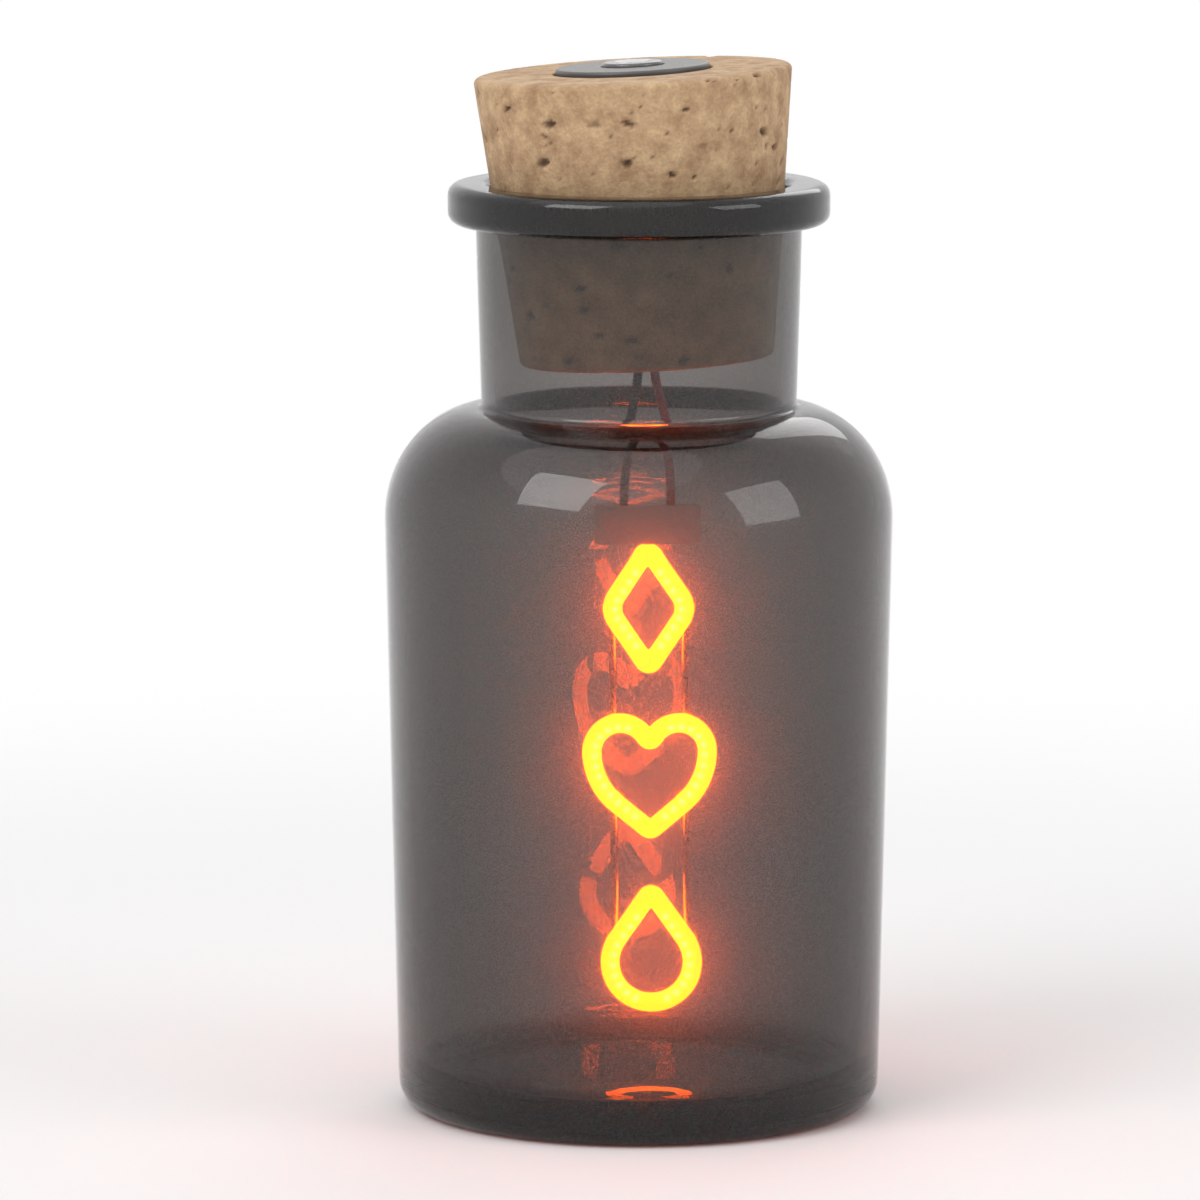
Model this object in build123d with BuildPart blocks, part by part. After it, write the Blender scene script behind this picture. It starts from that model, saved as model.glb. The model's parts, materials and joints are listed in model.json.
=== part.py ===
# Cork bottle light: a wide-mouth glass bottle, a cork that holds the battery, the switch and the
# circuit board, and a column of three glowing figures that hangs from the cork on two leads.
# Millimetres, +Z up, +X to the right and -Y towards the viewer. The origin is on the bottle's axis,
# in the plane that the bottle stands on.
from build123d import *

import os
from math import asin, ceil, cos, degrees, pi, radians, sin, sqrt, tan

# Bottle
bottle_height = 125.0
body_radius = 34.0
foot_radius = 32.3
shoulder_height = 79.8
shoulder_rise = 15.2
glass_wall = 2.4
neck_root_radius = 21.1
neck_top_radius = 21.8
neck_wall = 1.8
neck_fillet = 3.0
lip_radius = 25.55
lip_height = 5.4
lip_round = 1.6
mouth_round = 1.1
heel_round = 4.5
standing_ring_radius = 25.0
push_up = 2.0
floor_thickness = 3.5
inner_heel_round = 4.0
floor_height = push_up + floor_thickness

# Cork, which sits a little askew in the mouth
cork_height = 38.5
cork_exposed = 15.0
cork_taper_deg = 6.3
cork_tilt_deg = 2.9
cork_offset = 0.1
cork_clearance = 0.35
cork_edge_round = 0.6
mouth_level = cork_height - cork_exposed

# Battery case in the cork
case_radius = 8.4
case_clearance = 0.1
flange_radius = 10.5
flange_thickness = 1.0
flange_seat_depth = 1.6
plug_bore_radius = 7.1
case_floor = 1.4
cell_radius = 5.8
cell_count = 3
cell_clearance = 0.2
cell_button_radius = 4.9
cell_button_height = 0.4
cell_edge = 0.25

# Battery cap, with the switch inside its plug
cap_radius = 10.3
cap_disc_thickness = 1.1
cap_gap = 0.2
cap_skin = 0.9
cap_edge_round = 0.4
plug_clearance = 0.2
plug_length = 7.0
plug_cavity_radius = 5.3
seal_section_radius = 0.5
seal_clearance = 0.05
seal_drop = 3.2
switch_board_radius = 6.2
switch_board_thickness = 0.8
board_clearance = 0.1
switch_side = 7.0
switch_height = 3.7
contact_disc_radius = 4.5
contact_disc_thickness = 0.3
cell_gap = 0.3

# Power button
button_radius = 4.0
button_clearance = 0.25
button_proud = 0.5
button_flange_radius = 4.8
button_flange_thickness = 0.6
button_edge_round = 0.35
button_travel = 0.8
button_stop_gap = 0.2
plunger_radius = 1.5
plunger_clearance = 0.2
plunger_entry = 2.2

# Contacts under the cells
spring_height = 2.0
spring_foot_radius = 4.6
spring_top_radius = 2.6
spring_wire_radius = 0.3
spring_turns = 3
coil_steps = 12
spring_seat_gap = 0.25
rivet_head_radius = 2.2
rivet_head_thickness = 0.3
rivet_shank_radius = 0.9
strap_width = 2.4
strap_thickness = 0.4
strap_clearance = 0.1

# Circuit board and what is on it
board_radius = 8.2
board_thickness = 1.0
board_pocket_depth = 4.2
chip_length = 4.0
chip_width = 3.0
chip_height = 1.2
resistor_radius = 0.9
resistor_length = 5.0
resistor_offset = 4.6

# Wire gland in the cork's lower face
gland_length = 6.7
gland_radius = 3.1
gland_clearance = 0.1
gland_bore_radius = 2.4
gland_flange_radius = 4.3
gland_flange_thickness = 1.2
gland_edge_round = 0.3

# Leads
lead_radius = 0.6
lead_spacing = 1.6
lead_entry = 3.6
lead_gap = 0.5
pivot_height = 2.0

# Hanging column: its figures are sized as shares of the height that they hang in, between the
# cork and the bottle's floor
hang_height = bottle_height - mouth_level - floor_height
column_lean_deg = 0.5
holder_drop_share = 0.21771
holder_drop = hang_height * holder_drop_share
holder_width = 14.3
holder_height = 6.0
holder_depth = 4.4
holder_round = 0.7
holder_lead_spacing = 6.4
holder_lead_depth = 2.0
holder_clearance = 0.15
tip_socket_depth = 1.8
tip_socket_width = 4.2
tip_entry = 1.5

# Glowing tube: a soft jacket round a flexible strip with light chips on its inner side
tube_radius = 1.3
tube_bore_radius = 0.8
strip_width = 1.2
strip_thickness = 0.25
led_pitch = 1.58
led_length = 0.65
led_width = 0.8
led_height = 0.42
led_solder = 0.03
led_tip_margin = 1.6

# Lozenge
lozenge_width_share = 0.05052
lozenge_round_share = 0.03125
lozenge_slope_deg = 56.0
lozenge_half_width = hang_height * lozenge_width_share
lozenge_corner_radius = hang_height * lozenge_round_share

# Heart
heart_width_share = 0.08073
heart_gap_share = 0.03958
heart_lobe_share = 0.04010
heart_flank_share = 0.09833
heart_notch_slope_deg = 53.0
heart_tip_slope_deg = 40.0
heart_half_width = hang_height * heart_width_share
heart_gap = hang_height * heart_gap_share
heart_lobe_radius = hang_height * heart_lobe_share
heart_flank_radius = hang_height * heart_flank_share

# Drop
drop_radius_share = 0.05833
drop_gap_share = 0.04479
drop_point_slope_deg = 54.7
drop_radius = hang_height * drop_radius_share
drop_gap = hang_height * drop_gap_share

# Links that carry one figure from the next
link_radius = 0.55
link_clearance = 0.1
saddle_wall = 0.4
saddle_length = 1.1

overrun = 1.0

os.makedirs("parts", exist_ok=True)


def save(piece, name):
    """Label one finished piece and write it under its own name."""
    piece.label = name
    export_step(piece, f"parts/{name}.step")


def corner_radii(points):
    """Return the largest even arc at each corner, 0.45 of its shorter run."""
    arc_share = 0.45
    radii = []
    for before, corner, after in zip(points, points[1:], points[2:]):
        run_in = Vector(*corner) - Vector(*before)
        run_out = Vector(*after) - Vector(*corner)
        turn = radians(run_in.get_angle(run_out))
        radii.append(arc_share * min(run_in.length, run_out.length) / tan(turn / 2))
    return radii


# Glass bottle, made as two revolved profiles
bore_root_radius = neck_root_radius - neck_wall
bore_top_radius = neck_top_radius - neck_wall
neck_root_height = shoulder_height + shoulder_rise
lip_underside = bottle_height - lip_height
inner_body_radius = body_radius - glass_wall
inner_foot_radius = foot_radius - glass_wall
inner_rise = shoulder_rise - glass_wall
floor_edge_height = floor_thickness + glass_wall / 4

with BuildPart() as glass_bottle:
    with BuildSketch(Plane.XZ):
        with BuildLine():
            base = ThreePointArc(
                (0, push_up),
                (standing_ring_radius / 2, push_up * 3 / 4),
                (standing_ring_radius, 0),
            )
            FilletPolyline(
                base @ 1,
                (foot_radius, 0),
                (body_radius, shoulder_height),
                radius=heel_round,
            )
            EllipticalCenterArc(
                (neck_root_radius, shoulder_height),
                x_radius=body_radius - neck_root_radius,
                y_radius=shoulder_rise,
                start_angle=0,
                arc_size=90,
            )
            Polyline(
                (neck_root_radius, neck_root_height),
                (neck_top_radius, lip_underside),
                (lip_radius, lip_underside),
                (lip_radius, bottle_height),
                (0, bottle_height),
                (0, push_up),
            )
        make_face()
    revolve(axis=Axis.Z)
    rings = glass_bottle.edges().filter_by(GeomType.CIRCLE)
    lip_edges = rings.filter_by(lambda edge: abs(edge.radius - lip_radius) < mouth_round / 2)
    fillet(lip_edges, radius=lip_round)
    rings = glass_bottle.edges().filter_by(GeomType.CIRCLE)
    neck_edge = rings.sort_by(lambda edge: abs(edge.center().Z - neck_root_height))[0]
    fillet(neck_edge, radius=neck_fillet)
    with BuildSketch(Plane.XZ):
        with BuildLine():
            FilletPolyline(
                (0, floor_height),
                (inner_foot_radius / 2, floor_height),
                (inner_foot_radius, floor_edge_height),
                (inner_body_radius, shoulder_height),
                radius=[inner_foot_radius, inner_heel_round],
            )
            EllipticalCenterArc(
                (bore_root_radius, shoulder_height),
                x_radius=inner_body_radius - bore_root_radius,
                y_radius=inner_rise,
                start_angle=0,
                arc_size=90,
            )
            Polyline(
                (bore_root_radius, shoulder_height + inner_rise),
                (bore_top_radius, bottle_height),
                (0, bottle_height),
                (0, floor_height),
            )
        make_face()
    revolve(axis=Axis.Z, mode=Mode.SUBTRACT)
    rings = glass_bottle.edges().filter_by(GeomType.CIRCLE)
    bore_root = rings.filter_by(lambda edge: abs(edge.radius - bore_root_radius) < neck_wall / 4)
    fillet(bore_root.sort_by(Axis.Z)[0], radius=neck_fillet)
    rings = glass_bottle.edges().filter_by(GeomType.CIRCLE)
    mouth_edge = rings.filter_by(lambda edge: abs(edge.radius - bore_top_radius) < neck_wall / 4)
    fillet(mouth_edge.sort_by(Axis.Z)[-1], radius=mouth_round)
save(glass_bottle.part, "glass_bottle")

# Tilted frame of the cork: local x is the radius and local y runs up the cork's own axis
cork_axis_vector = Vector(-sin(radians(cork_tilt_deg)), 0, cos(radians(cork_tilt_deg)))
cork_side_vector = Vector(cos(radians(cork_tilt_deg)), 0, sin(radians(cork_tilt_deg)))
cork_foot = Vector(-cork_offset, 0, bottle_height) - cork_axis_vector * mouth_level
cork_section = Plane(origin=cork_foot, x_dir=cork_side_vector, z_dir=(0, -1, 0))
cork_axis = Axis(cork_foot, cork_axis_vector)
cork_mouth_radius = bore_top_radius - cork_clearance
cork_foot_radius = cork_mouth_radius - mouth_level * tan(radians(cork_taper_deg))
cork_top_radius = cork_mouth_radius + cork_exposed * tan(radians(cork_taper_deg))


def cork_level(height):
    """Return the plane square to the cork's axis at a height above the cork's foot."""
    return Plane(
        origin=cork_foot + cork_axis_vector * height,
        x_dir=cork_side_vector,
        z_dir=cork_axis_vector,
    )


# Heights up the cork's axis: the cap's from its top face down, the board's and the case's from
# the gland up. The cells fill the height between the spring and the cap's contact, 5.4 mm each.
seat_level = cork_height - flange_seat_depth
flange_top = seat_level + flange_thickness
cap_underside = flange_top + cap_gap
cap_top = cap_underside + cap_disc_thickness
plug_foot = cap_underside - plug_length
contact_disc_foot = plug_foot - contact_disc_thickness
cells_top = contact_disc_foot - cell_gap
pocket_foot = gland_length
case_foot = pocket_foot + board_pocket_depth
board_foot = case_foot - board_thickness
case_floor_top = case_foot + case_floor
cells_foot = case_floor_top + spring_height
cell_height = (cells_top - cells_foot) / cell_count
cell_bore_radius = cell_radius + cell_clearance

# Cork: a tapered stopper with a stepped pocket down to the gland's bore
with BuildPart() as cork:
    with BuildSketch(cork_section):
        Polygon(
            (0, 0),
            (cork_foot_radius, 0),
            (cork_top_radius, cork_height),
            (0, cork_height),
            align=None,
        )
    revolve(axis=cork_axis)
    fillet(cork.edges().filter_by(GeomType.CIRCLE), radius=cork_edge_round)
    with BuildSketch(cork_section):
        with BuildLine():
            Polyline(
                (0, -overrun),
                (gland_radius + gland_clearance, -overrun),
                (gland_radius + gland_clearance, pocket_foot),
                (case_radius + case_clearance, pocket_foot),
                (case_radius + case_clearance, seat_level),
                (flange_radius + case_clearance, seat_level),
                (flange_radius + case_clearance, cork_height + overrun),
                (0, cork_height + overrun),
                close=True,
            )
        make_face()
    revolve(axis=cork_axis, mode=Mode.SUBTRACT)
save(cork.part, "cork")

# Battery case: a flanged cup whose wider upper bore takes the cap's plug
plug_step = contact_disc_foot - cell_gap
strap_radius = cell_bore_radius + strap_clearance
strap_slot_width = strap_width + 2 * strap_clearance
strap_slot_depth = strap_thickness + 2 * strap_clearance

with BuildPart() as battery_case:
    with BuildSketch(cork_section):
        with BuildLine():
            Polyline(
                (rivet_shank_radius + case_clearance, case_foot),
                (case_radius, case_foot),
                (case_radius, seat_level),
                (flange_radius, seat_level),
                (flange_radius, flange_top),
                (plug_bore_radius, flange_top),
                (plug_bore_radius, plug_step),
                (cell_bore_radius, plug_step),
                (cell_bore_radius, case_floor_top),
                (rivet_shank_radius + case_clearance, case_floor_top),
                close=True,
            )
        make_face()
    revolve(axis=cork_axis)
    with BuildSketch(cork_level(case_floor_top)):
        with Locations((strap_radius, 0)):
            Rectangle(strap_slot_depth * 2, strap_slot_width)
    extrude(amount=plug_step - case_floor_top, mode=Mode.SUBTRACT)
    with BuildSketch(cork_level(case_foot)):
        with Locations((strap_radius + strap_thickness / 2, 0)):
            Rectangle(strap_thickness + 2 * strap_clearance, strap_slot_width)
    extrude(amount=case_floor, mode=Mode.SUBTRACT)
save(battery_case.part, "battery_case")

# Side contact: a strap from the top of the cells down to the board
with BuildPart() as side_contact:
    with BuildSketch(cork_level(case_foot)):
        with Locations((strap_radius + strap_thickness / 2, 0)):
            Rectangle(strap_thickness, strap_width)
    extrude(amount=plug_step - case_foot)
save(side_contact.part, "side_contact")

# Button cells, stacked with the small negative face down
with BuildPart() as button_cells:
    with BuildSketch(cork_section):
        for index in range(cell_count):
            foot = cells_foot + index * cell_height
            Polygon(
                (0, foot),
                (cell_button_radius, foot),
                (cell_button_radius, foot + cell_button_height),
                (cell_radius - cell_edge, foot + cell_button_height),
                (cell_radius, foot + cell_button_height + cell_edge),
                (cell_radius, foot + cell_height - cell_edge),
                (cell_radius - cell_edge, foot + cell_height - cell_edge / 4),
                (0, foot + cell_height - cell_edge / 4),
                align=None,
            )
    revolve(axis=cork_axis)
save(button_cells.part, "button_cells")

# Contact spring: a cone of wire under the lowest cell, coiled from short runs joined by arcs
spring_run = spring_height - 2 * (spring_wire_radius + spring_seat_gap)
coil_frame = cork_level(case_floor_top + spring_wire_radius + spring_seat_gap)
coil_points = []
for index in range(spring_turns * coil_steps + 1):
    coil_share = index / (spring_turns * coil_steps)
    coil_angle = 2 * pi * index / coil_steps
    coil_radius = spring_foot_radius + (spring_top_radius - spring_foot_radius) * coil_share
    coil_place = (coil_radius * cos(coil_angle), coil_radius * sin(coil_angle), spring_run * coil_share)
    coil_points.append(coil_frame.from_local_coords(coil_place))

with BuildPart() as contact_spring:
    with BuildLine():
        coil = FilletPolyline(*coil_points, radius=corner_radii(coil_points))
    with BuildSketch(Plane(origin=coil @ 0, z_dir=coil % 0)):
        Circle(spring_wire_radius)
    sweep()
save(contact_spring.part, "contact_spring")

# Contact rivet: joins the spring to the board through the case's floor
with BuildPart() as contact_rivet:
    with BuildSketch(cork_section):
        Polygon(
            (0, case_foot),
            (rivet_shank_radius, case_foot),
            (rivet_shank_radius, case_floor_top),
            (rivet_head_radius, case_floor_top),
            (rivet_head_radius, case_floor_top + rivet_head_thickness),
            (0, case_floor_top + rivet_head_thickness),
            align=None,
        )
    revolve(axis=cork_axis)
save(contact_rivet.part, "contact_rivet")

# Circuit board, with a flat on one side
with BuildPart() as circuit_board:
    with BuildSketch(cork_level(board_foot)):
        Circle(board_radius)
        with Locations((-board_radius, 0)):
            Rectangle(board_thickness, board_radius, mode=Mode.SUBTRACT)
    extrude(amount=board_thickness)
save(circuit_board.part, "circuit_board")

with BuildPart() as driver_chip:
    with BuildSketch(cork_level(board_foot)):
        with Locations((-resistor_offset, 0)):
            Rectangle(chip_width, chip_length)
    extrude(amount=-chip_height)
    chamfer(driver_chip.edges().group_by(Axis.Z)[0], length=chip_height / 5)
save(driver_chip.part, "driver_chip")

with BuildPart() as current_resistor:
    resistor_centre = cork_level(board_foot - resistor_radius)
    with BuildSketch(
        Plane(
            origin=resistor_centre.from_local_coords((resistor_offset, -resistor_length / 2, 0)),
            x_dir=cork_side_vector,
            z_dir=(0, 1, 0),
        )
    ):
        Circle(resistor_radius)
    extrude(amount=resistor_length)
    fillet(current_resistor.edges().filter_by(GeomType.CIRCLE), radius=resistor_radius / 4)
save(current_resistor.part, "current_resistor")

# Wire gland: a flanged tube in the cork's lower face, with its mouth rounded for the leads
with BuildPart() as wire_gland:
    with BuildSketch(cork_section):
        with BuildLine():
            Polyline(
                (gland_bore_radius, pocket_foot),
                (gland_radius, pocket_foot),
                (gland_radius, 0),
                (gland_flange_radius, 0),
                (gland_flange_radius, -gland_flange_thickness),
                (gland_bore_radius, -gland_flange_thickness),
                close=True,
            )
        make_face()
    revolve(axis=cork_axis)
    lowest = wire_gland.faces().sort_by(cork_axis)[0]
    fillet(lowest.edges(), radius=gland_edge_round)
save(wire_gland.part, "wire_gland")

# Inner leads, from the board down into the gland
with BuildPart() as inner_leads:
    with BuildSketch(cork_level(lead_entry + lead_gap)):
        with GridLocations(lead_spacing, 0, 2, 1):
            Circle(lead_radius)
    extrude(amount=board_foot - lead_entry - lead_gap)
save(inner_leads.part, "inner_leads")

# Battery cap: a disc on a hollow plug, with a groove for the seal and a hole for the button
plug_radius = plug_bore_radius - plug_clearance
seal_radius = plug_bore_radius - seal_clearance - seal_section_radius
groove_radius = seal_radius - seal_section_radius - seal_clearance
groove_half_width = seal_section_radius + seal_clearance
seal_level = cap_underside - seal_drop
board_seat = plug_foot + switch_board_thickness
cavity_top = cap_top - cap_skin

with BuildPart() as battery_cap:
    with BuildSketch(cork_section):
        with BuildLine():
            Polyline(
                (button_radius + button_clearance, cap_top),
                (cap_radius, cap_top),
                (cap_radius, cap_underside),
                (plug_radius, cap_underside),
                (plug_radius, seal_level + groove_half_width),
                (groove_radius, seal_level + groove_half_width),
                (groove_radius, seal_level - groove_half_width),
                (plug_radius, seal_level - groove_half_width),
                (plug_radius, plug_foot),
                (switch_board_radius + board_clearance, plug_foot),
                (switch_board_radius + board_clearance, board_seat),
                (plug_cavity_radius, board_seat),
                (plug_cavity_radius, cavity_top),
                (button_radius + button_clearance, cavity_top),
                close=True,
            )
        make_face()
    revolve(axis=cork_axis)
    rim = battery_cap.edges().filter_by(GeomType.CIRCLE).filter_by(
        lambda edge: abs(edge.radius - cap_radius) < cap_edge_round / 2
    )
    fillet(rim.sort_by(cork_axis)[-1], radius=cap_edge_round)
save(battery_cap.part, "battery_cap")

with BuildPart() as cap_seal:
    with BuildSketch(cork_section):
        with Locations((seal_radius, seal_level)):
            Circle(seal_section_radius)
    revolve(axis=cork_axis)
save(cap_seal.part, "cap_seal")

with BuildPart() as switch_board:
    with BuildSketch(cork_level(plug_foot)):
        Circle(switch_board_radius)
    extrude(amount=switch_board_thickness)
save(switch_board.part, "switch_board")

with BuildPart() as positive_contact:
    with BuildSketch(cork_level(contact_disc_foot)):
        Circle(contact_disc_radius)
    extrude(amount=contact_disc_thickness)
save(positive_contact.part, "positive_contact")

# Push switch: a square body with a well for its plunger
switch_top = board_seat + switch_height
well_depth = plunger_entry + button_travel + button_stop_gap

with BuildPart() as push_switch:
    with BuildSketch(cork_level(board_seat)):
        RectangleRounded(switch_side, switch_side, button_edge_round)
    extrude(amount=switch_height)
    with BuildSketch(cork_level(switch_top)):
        Circle(plunger_radius + plunger_clearance)
    extrude(amount=-well_depth, mode=Mode.SUBTRACT)
save(push_switch.part, "push_switch")

# Power button and the plunger that it rides on
button_top = cap_top + button_proud
button_flange_top = cavity_top - button_stop_gap
button_foot = button_flange_top - button_flange_thickness

with BuildPart() as power_button:
    with BuildSketch(cork_section):
        Polygon(
            (0, button_foot),
            (button_flange_radius, button_foot),
            (button_flange_radius, button_flange_top),
            (button_radius, button_flange_top),
            (button_radius, button_top),
            (0, button_top),
            align=None,
        )
    revolve(axis=cork_axis)
    fillet(power_button.edges().sort_by(cork_axis)[-1], radius=button_edge_round)
save(power_button.part, "power_button")

with BuildPart() as switch_plunger:
    with BuildSketch(cork_level(switch_top - plunger_entry)):
        Circle(plunger_radius)
    extrude(amount=button_foot - switch_top + plunger_entry)
save(switch_plunger.part, "switch_plunger")

# Frame of the hanging column: local x to the right, local y up the column from its pivot
pivot = cork_foot + cork_axis_vector * pivot_height
column_up = Vector(-sin(radians(column_lean_deg)), 0, cos(radians(column_lean_deg)))
column_right = Vector(cos(radians(column_lean_deg)), 0, sin(radians(column_lean_deg)))
column_plane = Plane(origin=pivot, x_dir=column_right, z_dir=(0, -1, 0))
column_middle = Plane(origin=pivot, x_dir=(0, 1, 0), z_dir=column_right)
holder_top = -holder_drop
holder_foot = holder_top - holder_height


def column_level(height):
    """Return the plane square to the column at a height above its pivot."""
    return Plane(origin=pivot + column_up * height, x_dir=column_right, z_dir=column_up)


# Filament holder: a small block that grips the leads above and the first figure's point below
with BuildPart() as filament_holder:
    with BuildSketch(column_level(holder_foot)):
        Rectangle(holder_width, holder_depth)
    extrude(amount=holder_height)
    fillet(filament_holder.edges().filter_by(Axis(pivot, column_up)), radius=holder_round * 2)
    fillet(filament_holder.faces().sort_by(Axis.Z)[-1].edges(), radius=holder_round)
    with BuildSketch(column_level(holder_top)):
        with GridLocations(holder_lead_spacing, 0, 2, 1):
            Circle(lead_radius + holder_clearance)
    extrude(amount=-holder_lead_depth, mode=Mode.SUBTRACT)
    with BuildSketch(column_level(holder_foot)):
        Rectangle(tip_socket_width, 2 * (tube_radius + holder_clearance))
    extrude(amount=tip_socket_depth, mode=Mode.SUBTRACT)
save(filament_holder.part, "filament_holder")


# Leads between the gland and the holder, each with a little slack
def lead_route(side, bow_share, depth_share):
    """Return one lead's points, from inside the gland to inside the holder."""
    top = lead_entry - pivot_height
    foot = holder_top - holder_lead_depth + holder_clearance
    reach = holder_lead_spacing / 2
    return [
        (side * lead_spacing / 2, 0, top),
        (side * lead_spacing / 2, 0, top - holder_drop / 4),
        (side * reach * bow_share, depth_share * reach, (top + foot) / 2),
        (side * reach, 0, foot + holder_drop / 4),
        (side * reach, 0, foot),
    ]


def lead(name, side, bow_share, depth_share):
    """Sweep one lead along straight runs joined by tangent arcs and write it."""
    column_frame = column_level(0)
    local_points = lead_route(side, bow_share, depth_share)
    points = [column_frame.from_local_coords(point) for point in local_points]
    radii = corner_radii(points)
    with BuildPart() as wire:
        with BuildLine():
            route = FilletPolyline(*points, radius=radii)
        with BuildSketch(Plane(origin=route @ 0, z_dir=route % 0)):
            Circle(lead_radius)
        sweep()
    section = pi * lead_radius ** 2
    print(name, "corner radii", [round(radius, 1) for radius in radii])
    print(name, "volume over section times length", wire.part.volume / section / route.length)
    save(wire.part, name)


lead("lead_wire_red", 1, 0.85, 0.20)
lead("lead_wire_black", -1, 0.70, -0.25)

# Half outlines of the three figures, from the middle line at the top to the middle line below
half_link = lozenge_half_width


def mitre_reach(slope_deg):
    """Return how far a tube runs past the middle line so that its mitre is whole."""
    return tube_radius * (1 + tan(radians(slope_deg)))


def sloped(slope_deg):
    """Return the unit direction that rises to the right at a slope."""
    return Vector(cos(radians(slope_deg)), sin(radians(slope_deg)))


# Lozenge: two straight sides and a round corner, its upper point in the holder
lozenge_corner_share = 1 / sin(radians(lozenge_slope_deg)) - 1
lozenge_sharp_width = lozenge_half_width + lozenge_corner_radius * lozenge_corner_share
lozenge_rise = lozenge_sharp_width * tan(radians(lozenge_slope_deg))
lozenge_point_half = tube_radius / cos(radians(lozenge_slope_deg))
lozenge_tip = holder_foot + tip_entry - lozenge_point_half
lozenge_centre = lozenge_tip - lozenge_rise
lozenge_foot = lozenge_centre - lozenge_rise - lozenge_point_half


def lozenge_half():
    """Draw the lozenge's right half."""
    reach = mitre_reach(lozenge_slope_deg)
    sharp = Vector(lozenge_sharp_width, lozenge_centre)
    top = Vector(0, lozenge_tip) - sloped(-lozenge_slope_deg) * reach
    foot = Vector(0, lozenge_centre - lozenge_rise) - sloped(lozenge_slope_deg) * reach
    FilletPolyline(top, sharp, foot, radius=lozenge_corner_radius)


# Heart: a lobe and a flank that share a vertical tangent at the widest place
heart_waist = lozenge_foot - heart_gap - tube_radius - heart_lobe_radius
lobe_x = heart_half_width - heart_lobe_radius
flank_x = heart_half_width - heart_flank_radius


def heart_half():
    """Draw the heart's right half."""
    notch_angle = 90 + heart_notch_slope_deg
    flank_angle = 90 - heart_tip_slope_deg
    lobe = CenterArc((lobe_x, heart_waist), heart_lobe_radius, 0, notch_angle)
    flank = CenterArc((flank_x, heart_waist), heart_flank_radius, 0, -flank_angle)
    notch_run = (lobe @ 1).X / cos(radians(heart_notch_slope_deg))
    tip_run = (flank @ 1).X / cos(radians(heart_tip_slope_deg))
    notch_reach = notch_run + mitre_reach(heart_notch_slope_deg)
    tip_reach = tip_run + mitre_reach(heart_tip_slope_deg)
    Line(lobe @ 1, (lobe @ 1) - sloped(heart_notch_slope_deg) * notch_reach)
    Line(flank @ 1, (flank @ 1) - sloped(heart_tip_slope_deg) * tip_reach)


heart_point_run = flank_x + heart_flank_radius * sin(radians(heart_tip_slope_deg))
heart_foot = (
    heart_waist
    - heart_flank_radius * cos(radians(heart_tip_slope_deg))
    - heart_point_run * tan(radians(heart_tip_slope_deg))
    - tube_radius / cos(radians(heart_tip_slope_deg))
)

# Drop: a round foot and two straight sides that rise to a point
drop_point_angle = 90 - drop_point_slope_deg
drop_point_rise = drop_radius / sin(radians(drop_point_angle))
drop_point_half = tube_radius / sin(radians(drop_point_angle))
drop_centre = heart_foot - drop_gap - drop_point_half - drop_point_rise


def drop_half():
    """Draw the drop's right half."""
    bowl = CenterArc((0, drop_centre), drop_radius, -90, 90 + drop_point_angle)
    side_run = drop_point_rise * cos(radians(drop_point_angle))
    reach = side_run + mitre_reach(drop_point_slope_deg)
    Line(bowl @ 1, (bowl @ 1) + sloped(180 - drop_point_slope_deg) * reach)


def glowing_figure(name, draw_half, side_points):
    """Make a figure's jacket, strip and light chips: one half each, cut and mirrored."""
    with BuildLine() as outline:
        draw_half()
    path = column_plane.from_local_coords(outline.wires()[0])
    start = path.position_at(0)
    section_plane = Plane(origin=start, x_dir=(0, 1, 0), z_dir=path.tangent_at(0))
    with BuildPart() as tube:
        with BuildSketch(section_plane):
            Circle(tube_radius)
            Circle(tube_bore_radius, mode=Mode.SUBTRACT)
        sweep(path=path)
        split(bisect_by=column_middle, keep=Keep.TOP)
        mirror(about=column_middle)
    save(tube.part, f"{name}_tube")
    with BuildPart() as strip:
        with BuildSketch(section_plane):
            Rectangle(strip_width, strip_thickness)
        sweep(path=path)
        split(bisect_by=column_middle, keep=Keep.TOP)
        mirror(about=column_middle)
    save(strip.part, f"{name}_strip")
    count = ceil(path.length / led_pitch)
    middle = column_plane.from_local_coords((0, side_points))
    with BuildPart() as chips:
        for index in range(count):
            along = path.length * (index + 0.5) / count
            place = path.position_at(along, PositionMode.LENGTH)
            tangent = path.tangent_at(along, PositionMode.LENGTH)
            if column_plane.to_local_coords(place).X < led_tip_margin:
                continue
            inward = tangent.cross(Vector(0, 1, 0)).normalized()
            if inward.dot(middle - place) < 0:
                inward = -inward
            seat = place + inward * (strip_thickness / 2 + led_solder)
            with BuildSketch(Plane(origin=seat, x_dir=(0, 1, 0), z_dir=inward)):
                Rectangle(led_width, led_length)
            extrude(amount=led_height)
        mirror(about=column_middle)
    save(chips.part, f"{name}_chips")
    print(name, "tube", round(2 * path.length, 1), "mm, chips", len(chips.part.solids()))


glowing_figure("lozenge", lozenge_half, lozenge_centre)
glowing_figure("heart", heart_half, heart_waist)
glowing_figure("drop", drop_half, drop_centre)


# Links: a wire behind the figures with a saddle at each end that cups the tube from behind
link_depth = tube_radius + link_clearance + link_radius
saddle_inner_radius = tube_radius + link_clearance


def saddle_plane(x, height, slope_deg):
    """Return the plane across a tube, at a place on its middle line and along its slope."""
    along = column_right * cos(radians(slope_deg)) + column_up * sin(radians(slope_deg))
    origin = column_plane.from_local_coords((x, height))
    return Plane(origin=origin, x_dir=(0, 1, 0), z_dir=along)


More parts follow.
